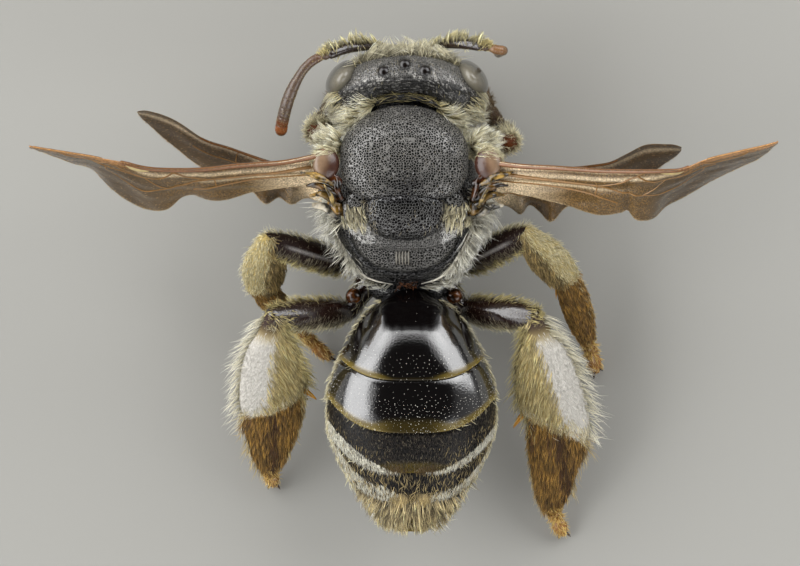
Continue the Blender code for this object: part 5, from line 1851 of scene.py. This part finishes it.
def build_stage():
    """A pale floor, a soft dome of light with two lamps in it and the camera straight above."""
    sizes = bpy.context.scene.bee_sizes
    bpy.ops.object.select_all(action="DESELECT")
    bpy.ops.mesh.primitive_plane_add(size=sizes.floor, location=(0, 0, 0))
    floor = bpy.context.active_object
    floor.name = "floor"
    card = new_material("floor_card", Roughness=0.8, Base_Color=(*colour("floor"), 1))[0]
    floor.data.materials.append(card)
    build_sky()

    target = HOME + Vector(LAMP_TARGET) * MM
    for name, lean, turn, power in LAMPS:
        lean, turn = math.radians(lean), math.radians(turn)
        place = Vector((math.sin(lean) * math.cos(turn), math.sin(lean) * math.sin(turn), math.cos(lean)))
        light = bpy.data.lights.new(f"lamp_{name}", "AREA")
        light.shape = "DISK"
        light.size = LAMP_SIZE * MM
        light.energy = power
        lamp = bpy.data.objects.new(light.name, light)
        lamp.location = target + place * LAMP_REACH * MM
        lamp.rotation_euler = (target - lamp.location).to_track_quat("-Z", "Y").to_euler()
        lamp.visible_camera = False
        bpy.context.scene.collection.objects.link(lamp)

    seen = bpy.data.cameras.new("camera")
    seen.lens, seen.sensor_width = LENS, FILM
    seen.clip_start, seen.clip_end = 0.01, 10
    camera = bpy.data.objects.new("camera", seen)
    camera.location = HOME + Vector(VIEW_CENTRE) * MM + Vector((0, 0, sizes.view_width * LENS / FILM))
    camera.rotation_euler = (0, 0, math.pi)
    bpy.context.scene.collection.objects.link(camera)
    bpy.context.scene.camera = camera
    bpy.context.scene.view_settings.view_transform = "Standard"


def build_sky():
    """A dim white room with wide banks of diffused light to the left, to the right and in front."""
    world = bpy.data.worlds.new("studio")
    world.use_nodes = True
    tree = world.node_tree
    place = add_node(tree, "ShaderNodeTexCoord", output="Generated")
    x, y, z = add_node(tree, "ShaderNodeSeparateXYZ", {0: place}).node.outputs

    def step(value, start, end, low, high):
        return add_node(
            tree, "ShaderNodeMapRange",
            {"Value": value, "From Min": start, "From Max": end, "To Min": low, "To Max": high},
            interpolation_type="SMOOTHSTEP")

    def times(a, b):
        return add_node(tree, "ShaderNodeMath", {0: a, 1: b}, operation="MULTIPLY")

    def plus(a, b):
        return add_node(tree, "ShaderNodeMath", {0: a, 1: b}, operation="ADD")

    high = step(z, 0.86, 0.74, 0, 3.3)
    left = times(step(x, 0.15, 0.6, 0.05, 1.1), step(z, 0.04, 0.20, 0, 1))
    left = times(left, step(y, 0.25, 0.5, 1, 0.45))
    notch = plus(step(y, -0.20, -0.05, 1, 0), step(y, 0.35, 0.5, 0, 0.7))
    right = times(times(step(x, -0.15, -0.6, 0.05, 1.0), notch), step(z, 0.16, 0.32, 0, 1))
    front = times(step(y, -0.35, -0.7, 0, 0.55), step(z, 0.46, 0.60, 0, 1))
    rear = times(step(y, 0.35, 0.7, 0, 0.2), step(z, 0.26, 0.42, 0, 1))
    banks = plus(plus(left, right), plus(front, rear))
    room = times(step(z, 0.9, 0.2, 0.02, 0.25), step(y, -0.1, -0.6, 1, 0.15))
    background = tree.nodes["Background"].inputs
    background["Color"].default_value = (1, 1, 1, 1)
    tree.links.new(plus(times(high, banks), room), background["Strength"])
    bpy.context.scene.world = world


# ---------------------------------------------------------------- add-on
class BeeSizes(bpy.types.PropertyGroup):
    """Sizes a user may change."""

    hair_count: share_property("Hair count", "How many hairs, as a share")
    hair_length: share_property("Hair length", "Length of all hair, as a share")
    hair_width: share_property("Hair width", "Thickness of all hair, as a share")
    floor: length_property("Floor", 900, "Side of the floor")
    view_width: length_property("View width", 13.2, "Width of what the camera sees")


class BeeColours(bpy.types.PropertyGroup):
    """Colours a user may change."""

    shell: colour_property("Shell", "#0C0B0B", "Black shell of head, thorax and abdomen")
    # painted sheen: a grey that stands for light mirrored by the rims between the pits of head and thorax
    painted_sheen: colour_property("Painted_sheen", "#6C6A66", "Grey bloom on the rims between the pits of the back")
    feeler: colour_property("Feeler", "#54443A", "Brown-grey feelers")
    leg: colour_property("Leg", "#22120D", "Dark red-brown shell of the legs")
    foot: colour_property("Foot", "#7A5428", "Brown shell of the feet")
    straw: colour_property("Straw", "#BEA764", "Skin under the straw-coloured brushes of the legs")
    snow: colour_property("Snow", "#C6C2BA", "Skin under the white brushes of the hind legs")
    amber: colour_property("Amber", "#B26A1C", "Thin amber shell")
    belly: colour_property("Belly", "#070505", "Brown-black shell of the abdomen")
    rim: colour_property("Rim", "#6E5E2A", "See-through hind edges of the abdomen's rings")
    eye: colour_property("Eye", "#777265", "Grey of the eyes")
    membrane: colour_property("Membrane", "#604620", "Smoky wing membrane")
    # the pale of the wing roots, and painted sheen on the pleats near the forewing's front edge
    channel: colour_property("Pale_root_and_sheen", "#EBD5B0", "Pale pleats of the wings")
    vein: colour_property("Vein", "#6A421E", "Wing veins")
    spot: colour_property("Spot", "#C9B27A", "Pale spot on the forewing's front edge")
    floor: colour_property("Floor", "#979691", "Pale floor")


class BEE_OT_head(bpy.types.Operator):
    """Builds the head's shell and its three small eyes."""

    bl_idname = "bee.head"
    bl_label = "Head"

    def execute(self, context):
        build_head()
        return {"FINISHED"}


class BEE_OT_eyes(bpy.types.Operator):
    """Builds the two large eyes."""

    bl_idname = "bee.eyes"
    bl_label = "Eyes"

    def execute(self, context):
        build_eyes()
        return {"FINISHED"}


class BEE_OT_jaws(bpy.types.Operator):
    """Builds the jaws and the upper lip."""

    bl_idname = "bee.jaws"
    bl_label = "Jaws"

    def execute(self, context):
        build_jaws()
        return {"FINISHED"}


class BEE_OT_antennae(bpy.types.Operator):
    """Builds both feelers."""

    bl_idname = "bee.antennae"
    bl_label = "Feelers"

    def execute(self, context):
        build_antennae()
        return {"FINISHED"}


class BEE_OT_thorax(bpy.types.Operator):
    """Builds the thorax with its plates and wing caps."""

    bl_idname = "bee.thorax"
    bl_label = "Thorax"

    def execute(self, context):
        build_thorax()
        return {"FINISHED"}


class BEE_OT_abdomen(bpy.types.Operator):
    """Builds the six rings of the abdomen."""

    bl_idname = "bee.abdomen"
    bl_label = "Abdomen"

    def execute(self, context):
        build_abdomen()
        return {"FINISHED"}


class BEE_OT_wings(bpy.types.Operator):
    """Builds the four wings with their veins."""

    bl_idname = "bee.wings"
    bl_label = "Wings"

    def execute(self, context):
        build_wings()
        return {"FINISHED"}


class BEE_OT_legs(bpy.types.Operator):
    """Builds the six legs with feet, claws and spurs."""

    bl_idname = "bee.legs"
    bl_label = "Legs"

    def execute(self, context):
        build_legs()
        return {"FINISHED"}


class BEE_OT_coat_head(bpy.types.Operator):
    """Covers the head with hair."""

    bl_idname = "bee.coat_head"
    bl_label = "Hair of the head"

    def execute(self, context):
        coat_head()
        return {"FINISHED"}


class BEE_OT_coat_antennae(bpy.types.Operator):
    """Covers the feelers with down."""

    bl_idname = "bee.coat_antennae"
    bl_label = "Hair of the feelers"

    def execute(self, context):
        coat_antennae()
        return {"FINISHED"}


class BEE_OT_coat_thorax(bpy.types.Operator):
    """Covers the thorax with hair."""

    bl_idname = "bee.coat_thorax"
    bl_label = "Hair of the thorax"

    def execute(self, context):
        coat_thorax()
        return {"FINISHED"}


class BEE_OT_coat_lobes(bpy.types.Operator):
    """Covers the lobes before the wings with hair."""

    bl_idname = "bee.coat_lobes"
    bl_label = "Hair before the wings"

    def execute(self, context):
        coat_lobes()
        return {"FINISHED"}


class BEE_OT_coat_abdomen(bpy.types.Operator):
    """Covers the abdomen with hair and bands."""

    bl_idname = "bee.coat_abdomen"
    bl_label = "Hair of the abdomen"

    def execute(self, context):
        coat_abdomen()
        return {"FINISHED"}


class BEE_OT_coat_legs(bpy.types.Operator):
    """Covers the legs with hair."""

    bl_idname = "bee.coat_legs"
    bl_label = "Hair of the legs"

    def execute(self, context):
        coat_legs()
        return {"FINISHED"}


class BEE_OT_coat_wings(bpy.types.Operator):
    """Covers the wings with tiny hairs."""

    bl_idname = "bee.coat_wings"
    bl_label = "Hair of the wings"

    def execute(self, context):
        coat_wings()
        return {"FINISHED"}


class BEE_OT_stage(bpy.types.Operator):
    """Sets the floor, the lamps and the camera."""

    bl_idname = "bee.stage"
    bl_label = "Stage"

    def execute(self, context):
        build_stage()
        return {"FINISHED"}


OPERATORS = (
    BEE_OT_head, BEE_OT_eyes, BEE_OT_jaws, BEE_OT_antennae, BEE_OT_thorax, BEE_OT_abdomen, BEE_OT_wings,
    BEE_OT_legs, BEE_OT_coat_head, BEE_OT_coat_antennae, BEE_OT_coat_thorax, BEE_OT_coat_lobes,
    BEE_OT_coat_abdomen, BEE_OT_coat_legs, BEE_OT_coat_wings, BEE_OT_stage,
)


class BEE_PT_panel(bpy.types.Panel):
    """Lists the steps of the build."""

    bl_label = "Bee"
    bl_space_type = "VIEW_3D"
    bl_region_type = "UI"
    bl_category = "Bee"

    def draw(self, context):
        for step in OPERATORS:
            self.layout.operator(step.bl_idname)


CLASSES = (BeeSizes, BeeColours, *OPERATORS, BEE_PT_panel)


def register():
    for cls in CLASSES:
        bpy.utils.register_class(cls)
    bpy.types.Scene.bee_sizes = PointerProperty(type=BeeSizes)
    bpy.types.Scene.bee_colours = PointerProperty(type=BeeColours)


def unregister():
    del bpy.types.Scene.bee_colours
    del bpy.types.Scene.bee_sizes
    for cls in reversed(CLASSES):
        bpy.utils.unregister_class(cls)


def main():
    register()
    bpy.ops.bee.head()
    bpy.ops.bee.eyes()
    bpy.ops.bee.jaws()
    bpy.ops.bee.antennae()
    bpy.ops.bee.thorax()
    bpy.ops.bee.abdomen()
    bpy.ops.bee.wings()
    bpy.ops.bee.legs()
    bpy.ops.bee.coat_head()
    bpy.ops.bee.coat_antennae()
    bpy.ops.bee.coat_thorax()
    bpy.ops.bee.coat_lobes()
    bpy.ops.bee.coat_abdomen()
    bpy.ops.bee.coat_legs()
    bpy.ops.bee.coat_wings()
    bpy.ops.bee.stage()


if __name__ == "__main__":
    main()
